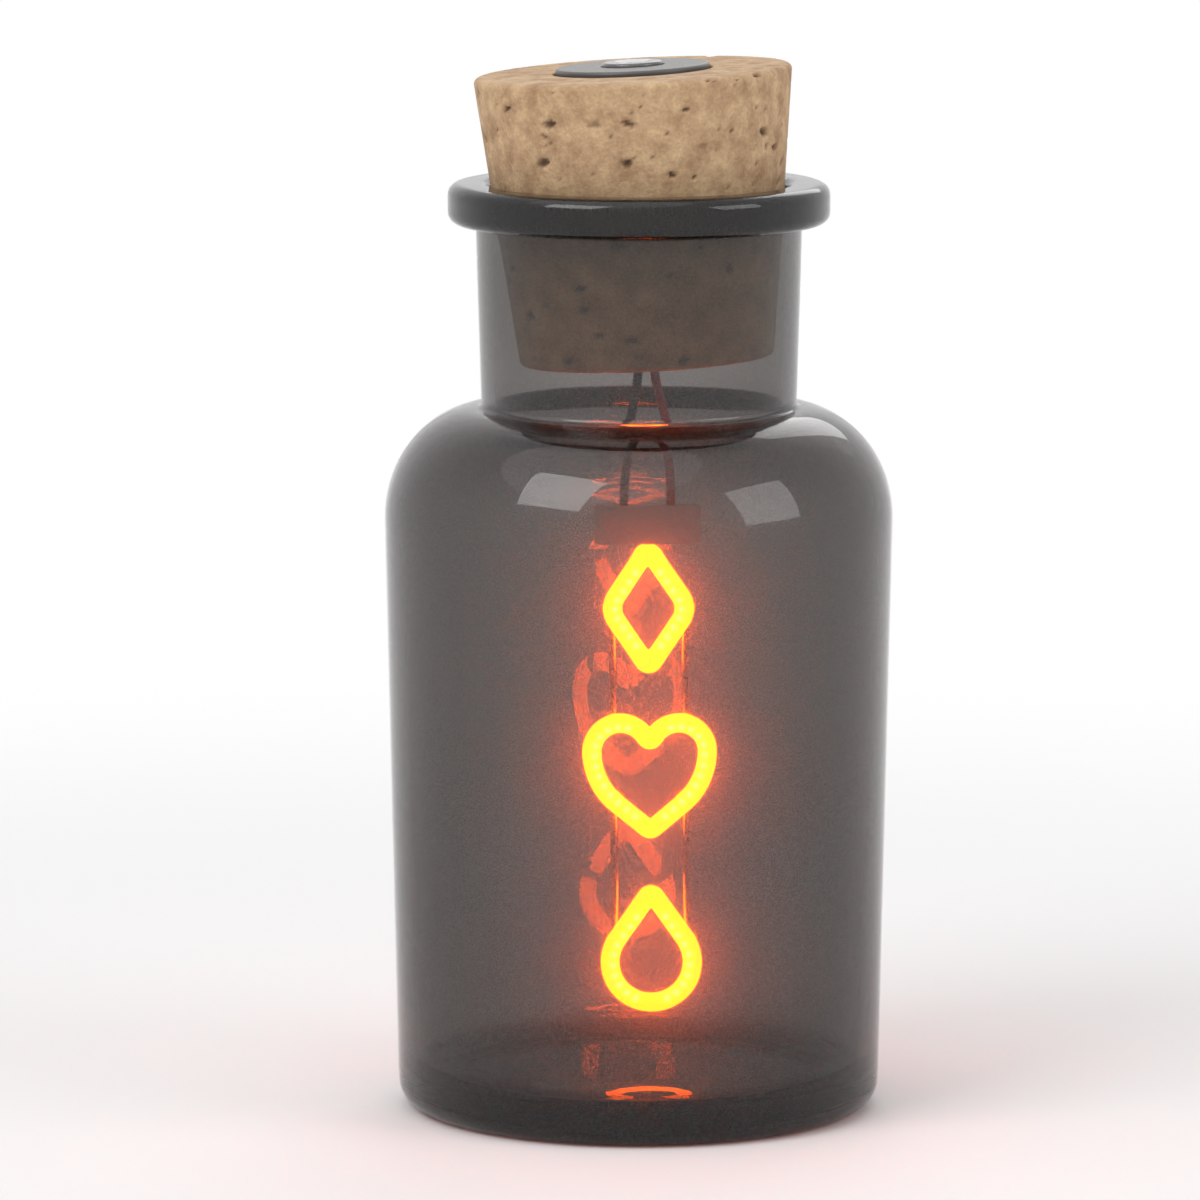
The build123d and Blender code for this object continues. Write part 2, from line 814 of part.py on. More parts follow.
def link(name, side, upper, lower):
    """Make one link from its upper saddle to its lower saddle and write it."""
    with BuildPart() as wire:
        for height, slope_deg in (upper, lower):
            with BuildSketch(saddle_plane(side * half_link, height, side * slope_deg)):
                Circle(saddle_inner_radius + saddle_wall)
                Circle(saddle_inner_radius, mode=Mode.SUBTRACT)
                with Locations((-saddle_inner_radius, 0)):
                    Rectangle(
                        2 * saddle_inner_radius + 2 * saddle_wall,
                        4 * saddle_inner_radius,
                        mode=Mode.SUBTRACT,
                    )
            extrude(amount=saddle_length / 2, both=True)
        foot_plane = Plane(
            origin=column_plane.from_local_coords((side * half_link, lower[0], -link_depth)),
            x_dir=column_right,
            z_dir=column_up,
        )
        with BuildSketch(foot_plane.offset(-saddle_length / 2)):
            Circle(link_radius)
        extrude(amount=upper[0] - lower[0] + saddle_length)
    save(wire.part, name)


lobe_rise = sqrt(heart_lobe_radius ** 2 - (half_link - lobe_x) ** 2)
lobe_slope_deg = -degrees(asin((half_link - lobe_x) / heart_lobe_radius))
flank_fall = sqrt(heart_flank_radius ** 2 - (half_link - flank_x) ** 2)
flank_slope_deg = degrees(asin((half_link - flank_x) / heart_flank_radius))
bowl_rise = sqrt(drop_radius ** 2 - half_link ** 2)
bowl_slope_deg = -degrees(asin(half_link / drop_radius))

for side_name, side_sign in (("left", -1), ("right", 1)):
    link(
        f"upper_link_{side_name}",
        side_sign,
        (lozenge_centre, 90),
        (heart_waist + lobe_rise, lobe_slope_deg),
    )
    link(
        f"lower_link_{side_name}",
        side_sign,
        (heart_waist - flank_fall, flank_slope_deg),
        (drop_centre + bowl_rise, bowl_slope_deg),
    )
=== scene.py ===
"""Dress the cork bottle light: fine shapes, finishes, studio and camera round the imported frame."""

import json
import logging
import math
from dataclasses import dataclass, field
from enum import Enum
from functools import cached_property
from typing import Sequence

import bmesh
import bpy
from mathutils import Matrix, Vector, noise

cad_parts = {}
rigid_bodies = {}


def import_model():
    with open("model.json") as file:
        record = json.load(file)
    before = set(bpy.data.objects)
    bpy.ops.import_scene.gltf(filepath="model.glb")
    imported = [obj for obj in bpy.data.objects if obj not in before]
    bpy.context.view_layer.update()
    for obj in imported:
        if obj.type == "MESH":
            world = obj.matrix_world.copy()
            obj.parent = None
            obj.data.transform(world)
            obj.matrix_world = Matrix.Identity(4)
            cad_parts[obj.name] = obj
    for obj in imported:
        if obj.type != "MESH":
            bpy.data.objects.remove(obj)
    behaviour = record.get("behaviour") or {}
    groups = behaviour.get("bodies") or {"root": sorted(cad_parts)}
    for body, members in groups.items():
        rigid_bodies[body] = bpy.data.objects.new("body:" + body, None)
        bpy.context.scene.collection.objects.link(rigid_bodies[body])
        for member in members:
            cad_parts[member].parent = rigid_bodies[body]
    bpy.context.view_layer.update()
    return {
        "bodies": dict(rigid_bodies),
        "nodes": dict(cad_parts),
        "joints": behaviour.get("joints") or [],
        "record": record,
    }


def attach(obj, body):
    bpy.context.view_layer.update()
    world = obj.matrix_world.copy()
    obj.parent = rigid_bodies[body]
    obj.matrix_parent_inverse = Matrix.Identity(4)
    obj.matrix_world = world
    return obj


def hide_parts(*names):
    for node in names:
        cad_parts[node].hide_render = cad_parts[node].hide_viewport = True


LOG = logging.getLogger("cork_bottle_light")
MM = 0.001
ON_AXIS = 1e-7
STRAIGHT = 1e-6
BEND_STEP_DEG = 9.0
BEND_PIECES = 3
WHITE = (1.0, 1.0, 1.0)
Colour = tuple[float, float, float]
Tree = bpy.types.NodeTree
Node = bpy.types.Node
Socket = bpy.types.NodeSocket
Wiring = dict[str | int, object]


class Body(Enum):
    """The bodies of the frame that pieces ride on."""

    BOTTLE = "bottle"
    CORK = "cork"
    CAP = "cap"
    BUTTON = "button"
    COLUMN = "column"


class Slot(Enum):
    """The record's material slots that new pieces take their finish from."""

    GLASS = "glass"
    CORK = "cork"
    CASE = "case_plastic"
    CAP = "cap_plastic"
    BUTTON = "button_plastic"
    CELL = "cell_steel"
    SPRING = "spring_steel"
    BRASS = "contact_brass"
    BOARD = "board"
    CHIP = "chip"
    RESISTOR = "resistor"
    PLUNGER = "plunger"
    RUBBER = "rubber"
    RED_LEAD = "red_lead"
    BLACK_LEAD = "black_lead"
    INNER_LEAD = "inner_lead"
    HOLDER = "holder_plastic"
    LINK = "link_metal"
    JACKET = "filament_jacket"
    STRIP = "filament_strip"
    LED = "led"


# Outlines and meshes


@dataclass(frozen=True)
class Corner:
    """One corner of an outline: how far out, how high, and how round."""

    out: float
    height: float
    rounding: float = 0.0

    def point(self) -> Vector:
        """Return the corner as a flat vector."""
        return Vector((self.out, self.height))


def clamped(value: float) -> float:
    """Return a value held between 0 and 1."""
    return max(0.0, min(1.0, value))


def neighbours(items: list, closed: bool) -> list[tuple]:
    """Return each item with the one after it, and the last with the first if closed."""
    return list(zip(items, items[1:] + items[:1] if closed else items[1:]))


def arc_corners(centre: Vector, radii: tuple[float, float], start: float, end: float,
                count: int) -> list[Corner]:
    """Return corners along an arc or a stretch of an ellipse.

    Args:
        centre: The arc's centre.
        radii: The half widths outwards and upwards.
        start: The first angle in degrees.
        end: The last angle in degrees.
        count: How many steps the arc is cut into.

    Returns:
        The corners from start to end, both included.
    """
    corners = []
    for index in range(count + 1):
        angle = math.radians(start + (end - start) * index / count)
        corners.append(Corner(centre.x + radii[0] * math.cos(angle), centre.y + radii[1] * math.sin(angle)))
    return corners


def bend(corner: Corner, before: Corner, after: Corner, step: float) -> list[Vector]:
    """Return the arc that rounds one corner, smaller where the sides are too short for it.

    Args:
        corner: The corner.
        before: The corner before it.
        after: The corner after it.
        step: The longest distance between two points.

    Returns:
        The arc's points.
    """
    here = corner.point()
    back = before.point() - here
    onward = after.point() - here
    opening = back.angle(onward)
    reach = corner.rounding / math.tan(opening / 2)
    reach = min(reach, back.length / 2, onward.length / 2)
    radius = reach * math.tan(opening / 2)
    towards = (back.normalized() + onward.normalized()).normalized()
    centre = here + towards * radius / math.sin(opening / 2)
    first = here + back.normalized() * reach - centre
    last = here + onward.normalized() * reach - centre
    sweep = math.pi - opening
    spread = math.sin(sweep)
    if spread < STRAIGHT:
        return [centre + first]
    turns = math.ceil(math.degrees(sweep) / BEND_STEP_DEG)
    pieces = max(BEND_PIECES, math.ceil(sweep * radius / step), turns)
    points = []
    for piece in range(pieces + 1):
        share = piece / pieces
        ahead = math.sin(sweep * share) / spread
        behind = math.sin(sweep * (1 - share)) / spread
        points.append(centre + first * behind + last * ahead)
    return points


def rounded(corners: Sequence[Corner], closed: bool, step: float) -> list[Vector]:
    """Return evenly stepped points along an outline whose corners are rounded.

    Args:
        corners: The outline's corners in order.
        closed: Whether the last corner joins the first.
        step: The longest distance between two points.

    Returns:
        The points along the outline.
    """
    bends: list[Vector] = []
    count = len(corners)
    for index, corner in enumerate(corners):
        inner = closed or 0 < index < count - 1
        if inner and corner.rounding != 0.0:
            bends.extend(bend(corner, corners[index - 1], corners[(index + 1) % count], step))
        else:
            bends.append(corner.point())
    points: list[Vector] = []
    for start, end in neighbours(bends, closed):
        pieces = max(1, math.ceil((end - start).length / step))
        points.extend(start.lerp(end, piece / pieces) for piece in range(pieces))
    if not closed:
        points.append(bends[-1])
    return points


def add_object(name: str, data: bpy.types.ID) -> bpy.types.Object:
    """Put a mesh, curve, lamp or camera into the scene.

    Args:
        name: The new object's name.
        data: What the object shows.

    Returns:
        The new object.
    """
    piece = bpy.data.objects.new(name, data)
    bpy.context.scene.collection.objects.link(piece)
    return piece


def closed_mesh(name: str, vertices: list[Vector], faces: list) -> bpy.types.Object:
    """Make a smooth object of a closed mesh, with every face outwards.

    Args:
        name: The new object's name.
        vertices: The mesh's points.
        faces: The point numbers of each face.

    Returns:
        The new object.
    """
    mesh = bpy.data.meshes.new(name)
    mesh.from_pydata(vertices, [], faces)
    sculpt = bmesh.new()
    sculpt.from_mesh(mesh)
    bmesh.ops.recalc_face_normals(sculpt, faces=sculpt.faces)
    sculpt.to_mesh(mesh)
    sculpt.free()
    mesh.shade_smooth()
    return add_object(name, mesh)


def lathe(name: str, outline: list[Vector], closed: bool, segments: int,
          place: Matrix) -> bpy.types.Object:
    """Turn an outline about its upright axis.

    Args:
        name: The new object's name.
        outline: Points as distance from the axis and height.
        closed: Whether the outline closes on itself away from the axis.
        segments: How many steps make the full turn.
        place: Where the axis stands in the row frame.

    Returns:
        The turned object.
    """
    vertices: list[Vector] = []
    rings: list[list[int]] = []
    for point in outline:
        if abs(point.x) < ON_AXIS:
            rings.append([len(vertices)] * segments)
            vertices.append(place @ Vector((0.0, 0.0, point.y)))
            continue
        rings.append(list(range(len(vertices), len(vertices) + segments)))
        for index in range(segments):
            angle = math.tau * index / segments
            vertices.append(place @ Vector((point.x * math.cos(angle), point.x * math.sin(angle), point.y)))
    faces = []
    for lower, upper in neighbours(rings, closed):
        for index in range(segments):
            following = (index + 1) % segments
            quad = [lower[index], lower[following], upper[following], upper[index]]
            face = list(dict.fromkeys(quad))
            if len(face) > 2:
                faces.append(face)
    return closed_mesh(name, vertices, faces)


def set_places(mesh: bpy.types.Mesh, places: Sequence[Vector]) -> None:
    """Move every point of a mesh to its new place."""
    mesh.vertices.foreach_set("co", [number for place in places for number in place])
    mesh.update()


def set_shares(mesh: bpy.types.Mesh, name: str, shares: Sequence[float]) -> None:
    """Store one share for each point of a mesh as a named attribute."""
    mesh.attributes.new(name, "FLOAT", "POINT").data.foreach_set("value", shares)


# Shader helpers, and the groups that several finishes share


def feed(tree: Tree, node: Node, inputs: Wiring) -> None:
    """Fill a node's inputs: sockets are linked, and all else is set as a value.

    Args:
        tree: The tree that holds the node.
        node: The node to fill.
        inputs: A socket or a value for each input's name or number.
    """
    for key, given in inputs.items():
        if isinstance(given, Socket):
            tree.links.new(given, node.inputs[key])
        else:
            node.inputs[key].default_value = given


def add_node(tree: Tree, kind: str, inputs: Wiring | None = None, **settings: object) -> Node:
    """Add a node to a tree.

    Args:
        tree: The tree.
        kind: The node's type.
        inputs: What feeds the node's inputs.
        settings: The node's plain properties.

    Returns:
        The new node.
    """
    node = tree.nodes.new(kind)
    for key, value in settings.items():
        setattr(node, key, value)
    feed(tree, node, inputs or {})
    return node


def reckon(tree: Tree, operation: str, *terms: object, use_clamp: bool = False) -> Socket:
    """Add a sum to a tree.

    Args:
        tree: The tree.
        operation: The kind of sum.
        terms: Sockets or plain numbers, in order.
        use_clamp: Whether the result is held between 0 and 1.

    Returns:
        The socket with the result.
    """
    wiring = dict(enumerate(terms))
    return add_node(tree, "ShaderNodeMath", wiring, operation=operation, use_clamp=use_clamp).outputs[0]


def object_noise(tree: Tree, **inputs: object) -> Socket:
    """Return the socket of a noise that stays fixed to its piece."""
    place = add_node(tree, "ShaderNodeTexCoord").outputs["Object"]
    return add_node(tree, "ShaderNodeTexNoise", {"Vector": place, **inputs}).outputs["Fac"]


def ranged(tree: Tree, value: Socket, start: float, end: float, full: float = 1.0) -> Socket:
    """Spread a stretch of a value over a new range that starts at 0.

    Args:
        tree: The tree.
        value: The socket to spread.
        start: The value that gives 0.
        end: The value that gives the full result.
        full: The full result.

    Returns:
        The socket with the result.
    """
    wiring = {"Value": value, "From Min": start, "From Max": end, "To Max": full}
    return add_node(tree, "ShaderNodeMapRange", wiring).outputs["Result"]


def mixed_colour(tree: Tree, share: Socket, first: object, second: object) -> Socket:
    """Mix two colours.

    Args:
        tree: The tree.
        share: The second colour's share.
        first: The first colour, as a socket or a value.
        second: The second colour, as a socket or a value.

    Returns:
        The socket with the mixed colour.
    """
    return add_node(tree, "ShaderNodeMix", {0: share, 6: first, 7: second}, data_type="RGBA").outputs[2]


def opaque(colour: Colour) -> tuple[float, float, float, float]:
    """Return a colour with full cover."""
    return (*colour, 1.0)


def colour_and_roughness(node: Node) -> Wiring:
    """Return a group's colour and roughness, ready to feed the next group."""
    return {"Color": node.outputs["Color"], "Roughness": node.outputs["Roughness"]}


@dataclass
class ShaderKit:
    """The shared shader groups, each built once, when a finish first asks for it."""

    grain_detail: float = 4.0
    middle_noise: float = 0.5
    dust_colour: Colour = (0.5, 0.48, 0.45)
    drift_scale: float = 260.0
    drift_detail: float = 5.0
    dust_slope: float = 0.3
    dust_roughening: float = 0.5

    @staticmethod
    def _sockets(tree: Tree, side: str, labels: Sequence[str]) -> None:
        """Give a group its named sockets: colours where the label says so, plain numbers elsewhere.

        Args:
            tree: The group's tree.
            side: INPUT or OUTPUT.
            labels: The sockets' names.
        """
        for label in labels:
            kind = "NodeSocketColor" if label.endswith("Color") else "NodeSocketFloat"
            tree.interface.new_socket(name=label, in_out=side, socket_type=kind)

    def _group(self, name: str, inputs: Sequence[str], outputs: Sequence[str]) -> tuple[Tree, Wiring, Node]:
        """Start a group with its sockets.

        Args:
            name: The group's name.
            inputs: The names of its inputs.
            outputs: The names of its outputs.

        Returns:
            The group's tree, its inner input sockets by name and its output node.
        """
        tree = bpy.data.node_groups.new(name, "ShaderNodeTree")
        self._sockets(tree, "INPUT", inputs)
        self._sockets(tree, "OUTPUT", outputs)
        given = add_node(tree, "NodeGroupInput").outputs
        return tree, {label: given[label] for label in inputs}, add_node(tree, "NodeGroupOutput")

    @cached_property
    def grain(self) -> Tree:
        """The group that varies a colour and a roughness with fine noise."""
        tree, given, out = self._group(
            "surface grain", ["Color", "Spread", "Scale", "Roughness", "Roughness Spread"],
            ["Color", "Roughness", "Height"])
        speckle = object_noise(tree, Detail=self.grain_detail, Scale=given["Scale"])
        centred = reckon(tree, "SUBTRACT", speckle, self.middle_noise)
        shade = reckon(tree, "MULTIPLY_ADD", centred, given["Spread"], 1.0)
        wiring = {0: given["Color"], "Scale": shade}
        tinted = add_node(tree, "ShaderNodeVectorMath", wiring, operation="SCALE")
        rough = reckon(tree, "MULTIPLY_ADD", centred, given["Roughness Spread"], given["Roughness"],
                       use_clamp=True)
        feed(tree, out, {"Color": tinted.outputs["Vector"], "Roughness": rough, "Height": speckle})
        return tree

    @cached_property
    def edge_wear(self) -> Tree:
        """The group that lightens and smooths a piece where its edge mask says so."""
        tree, given, out = self._group(
            "edge wear", ["Color", "Worn Color", "Edge", "Amount", "Roughness", "Worn Roughness"],
            ["Color", "Roughness"])
        worn = reckon(tree, "MULTIPLY", given["Edge"], given["Amount"], use_clamp=True)
        colour = mixed_colour(tree, worn, given["Color"], given["Worn Color"])
        wiring = {0: worn, 2: given["Roughness"], 3: given["Worn Roughness"]}
        rough = add_node(tree, "ShaderNodeMix", wiring, data_type="FLOAT").outputs[0]
        feed(tree, out, {"Color": colour, "Roughness": rough})
        return tree

    @cached_property
    def dust(self) -> Tree:
        """The group that lays a thin film of dust on what faces up."""
        tree, given, out = self._group(
            "dust film", ["Color", "Amount", "Roughness"], ["Color", "Roughness"])
        facing = add_node(tree, "ShaderNodeNewGeometry").outputs["Normal"]
        height = add_node(tree, "ShaderNodeSeparateXYZ", {0: facing}).outputs["Z"]
        drift = object_noise(tree, Scale=self.drift_scale, Detail=self.drift_detail)
        patchy = reckon(tree, "MULTIPLY", ranged(tree, height, self.dust_slope, 1.0), drift)
        film = reckon(tree, "MULTIPLY", patchy, given["Amount"], use_clamp=True)
        colour = mixed_colour(tree, film, given["Color"], opaque(self.dust_colour))
        rough = reckon(tree, "MULTIPLY_ADD", film, self.dust_roughening, given["Roughness"], use_clamp=True)
        feed(tree, out, {"Color": colour, "Roughness": rough})
        return tree


def placed(tree: Tree, group: Tree, inputs: Wiring) -> Node:
    """Put a shared group into a material, feed its inputs and return its node."""
    return add_node(tree, "ShaderNodeGroup", inputs, node_tree=group)


def new_material(name: str) -> tuple[bpy.types.Material, Tree, Node]:
    """Make a node material that holds only its main shader and its output.

    Args:
        name: The material's name.

    Returns:
        The material, its tree and its main shader.
    """
    material = bpy.data.materials.new(name)
    material.use_nodes = True
    tree = material.node_tree
    tree.nodes.clear()
    surface = add_node(tree, "ShaderNodeBsdfPrincipled")
    add_node(tree, "ShaderNodeOutputMaterial", {"Surface": surface.outputs["BSDF"]})
    return material, tree, surface


def output_of(tree: Tree) -> Node:
    """Return a material's output node."""
    return next(node for node in tree.nodes if node.type == "OUTPUT_MATERIAL")


# Finishes


@dataclass(frozen=True)
class MouldedFinish:
    """Moulded plastic, rubber or enamel: fine grain, worn edges and a little dust."""

    name: str
    colour: Colour
    worn_colour: Colour
    roughness: float = 0.45
    grain_size: float = 0.5 * MM
    spread: float = 0.25
    roughness_spread: float = 0.25
    worn_smoothing: float = 0.7
    wear: float = 0.35
    dust: float = 0.12
    bump: float = 0.08
    bump_share: float = 0.2
    metallic: float = 0.0
    coat: float = 0.0
    edge_attribute: str = ""
    blunt_edge: float = 0.52
    sharp_edge: float = 0.62

    def edges(self, tree: Tree) -> Socket:
        """Find the piece's edges: by its own attribute, or by how pointed its mesh is.

        Args:
            tree: The material's tree.

        Returns:
            The socket with the mask of the edges.
        """
        if self.edge_attribute:
            return add_node(tree, "ShaderNodeAttribute", attribute_name=self.edge_attribute).outputs["Fac"]
        pointed = add_node(tree, "ShaderNodeNewGeometry").outputs["Pointiness"]
        return ranged(tree, pointed, self.blunt_edge, self.sharp_edge)

    def build(self, kit: ShaderKit) -> bpy.types.Material:
        """Build the material from the shared groups.

        Args:
            kit: The shared groups.

        Returns:
            The finished material.
        """
        material, tree, surface = new_material(self.name)
        grain = placed(tree, kit.grain, {
            "Color": opaque(self.colour), "Spread": self.spread, "Scale": 1.0 / self.grain_size,
            "Roughness": self.roughness, "Roughness Spread": self.roughness_spread})
        wear = placed(tree, kit.edge_wear, {
            **colour_and_roughness(grain), "Edge": self.edges(tree), "Amount": self.wear,
            "Worn Color": opaque(self.worn_colour), "Worn Roughness": self.roughness * self.worn_smoothing})
        film = placed(tree, kit.dust, {**colour_and_roughness(wear), "Amount": self.dust})
        relief = add_node(tree, "ShaderNodeBump", {
            "Strength": self.bump, "Distance": self.grain_size * self.bump_share,
            "Height": grain.outputs["Height"]})
        feed(tree, surface, {
            "Base Color": film.outputs["Color"], "Roughness": film.outputs["Roughness"],
            "Normal": relief.outputs["Normal"], "Metallic": self.metallic, "Coat Weight": self.coat})
        return material


@dataclass(frozen=True)
class SmokedGlassFinish:
    """Smoked bottle glass that lets light through and carries a fine haze of specks."""

    name: str = "smoked bottle glass"
    tint: Colour = (0.95, 0.95, 0.95)
    shade: Colour = (0.96, 0.96, 0.96)
    smoke: Colour = (0.54, 0.52, 0.51)
    smoke_density: float = 1000.0
    index: float = 1.5
    ripple_size: float = 14.0 * MM
    ripple_detail: float = 2.0
    ripple_height: float = 1.0 * MM
    ripple: float = 0.03
    speck_size: float = 0.05 * MM
    speck_start: float = 0.60
    speck_full: float = 0.67
    speck_roughness: float = 0.8

    def build(self, kit: ShaderKit) -> bpy.types.Material:
        """Build the material: hazy refraction, a pale gap for shadow rays, and smoke inside.

        Args:
            kit: The shared groups, none of which the glass needs.

        Returns:
            The finished material.
        """
        material, tree, surface = new_material(self.name)
        ripples = object_noise(tree, Scale=1.0 / self.ripple_size, Detail=self.ripple_detail)
        relief = add_node(tree, "ShaderNodeBump", {
            "Strength": self.ripple, "Distance": self.ripple_height, "Height": ripples})
        specks = object_noise(tree, Scale=1.0 / self.speck_size)
        haze = ranged(tree, specks, self.speck_start, self.speck_full, self.speck_roughness)
        feed(tree, surface, {
            "Base Color": opaque(self.tint), "IOR": self.index, "Transmission Weight": 1.0,
            "Normal": relief.outputs["Normal"], "Roughness": haze})
        gap = add_node(tree, "ShaderNodeBsdfTransparent", {"Color": opaque(self.shade)})
        path = add_node(tree, "ShaderNodeLightPath")
        mix = add_node(tree, "ShaderNodeMixShader", {
            0: path.outputs["Is Shadow Ray"], 1: surface.outputs["BSDF"], 2: gap.outputs["BSDF"]})
        smoke = add_node(tree, "ShaderNodeVolumeAbsorption", {
            "Color": opaque(self.smoke), "Density": self.smoke_density})
        feed(tree, output_of(tree), {"Surface": mix.outputs["Shader"], "Volume": smoke.outputs["Volume"]})
        return material


@dataclass(frozen=True)
class CorkFinish:
    """Natural cork: mottled bark with dark pits, which the mesh carries as an attribute."""

    name: str = "natural cork"
    light: Colour = (0.62, 0.42, 0.24)
    dark: Colour = (0.36, 0.21, 0.11)
    pit: Colour = (0.10, 0.05, 0.025)
    mottle_size: float = 3.2 * MM
    mottle_detail: float = 6.0
    mottle_roughness: float = 0.62
    mottle_start: float = 0.34
    mottle_end: float = 0.66
    cell_size: float = 0.45 * MM
    spread: float = 0.55
    roughness: float = 0.82
    roughness_spread: float = 0.2
    dust: float = 0.12
    bump: float = 0.5
    bump_share: float = 0.5

    def build(self, kit: ShaderKit) -> bpy.types.Material:
        """Build the material from mottling, pits, fine cells and dust.

        Args:
            kit: The shared groups.

        Returns:
            The finished material.
        """
        material, tree, surface = new_material(self.name)
        mottle = object_noise(tree, Scale=1.0 / self.mottle_size, Detail=self.mottle_detail,
                              Roughness=self.mottle_roughness)
        bark = mixed_colour(tree, ranged(tree, mottle, self.mottle_start, self.mottle_end),
                            opaque(self.dark), opaque(self.light))
        pits = add_node(tree, "ShaderNodeAttribute", attribute_name=CorkStopper.pit_attribute)
        pitted = mixed_colour(tree, pits.outputs["Fac"], bark, opaque(self.pit))
        grain = placed(tree, kit.grain, {
            "Color": pitted, "Spread": self.spread, "Scale": 1.0 / self.cell_size,
            "Roughness": self.roughness, "Roughness Spread": self.roughness_spread})
        film = placed(tree, kit.dust, {**colour_and_roughness(grain), "Amount": self.dust})
        relief = add_node(tree, "ShaderNodeBump", {
            "Strength": self.bump, "Distance": self.cell_size * self.bump_share,
            "Height": grain.outputs["Height"]})
        feed(tree, surface, {
            "Base Color": film.outputs["Color"], "Roughness": film.outputs["Roughness"],
            "Normal": relief.outputs["Normal"]})
        return material


@dataclass(frozen=True)
class GlowFinish:
    """The lit jacket of a light filament, with a paler spot over each chip."""

    name: str
    skin: Colour
    glow: Colour
    spot: Colour
    strength: float = 42.0
    grain_size: float = 1.0 * MM
    spread: float = 0.1
    roughness: float = 0.35
    roughness_spread: float = 0.1
    spot_attribute: str = "chip_spot"

    def build(self, kit: ShaderKit) -> bpy.types.Material:
        """Build the glowing material.

        Args:
            kit: The shared groups.

        Returns:
            The finished material.
        """
        material, tree, surface = new_material(self.name)
        grain = placed(tree, kit.grain, {
            "Color": opaque(self.skin), "Spread": self.spread, "Scale": 1.0 / self.grain_size,
            "Roughness": self.roughness, "Roughness Spread": self.roughness_spread})
        spots = add_node(tree, "ShaderNodeAttribute", attribute_name=self.spot_attribute)
        colour = mixed_colour(tree, spots.outputs["Fac"], opaque(self.glow), opaque(self.spot))
        feed(tree, surface, {
            "Base Color": grain.outputs["Color"], "Roughness": grain.outputs["Roughness"],
            "Emission Color": colour, "Emission Strength": self.strength})
        return material


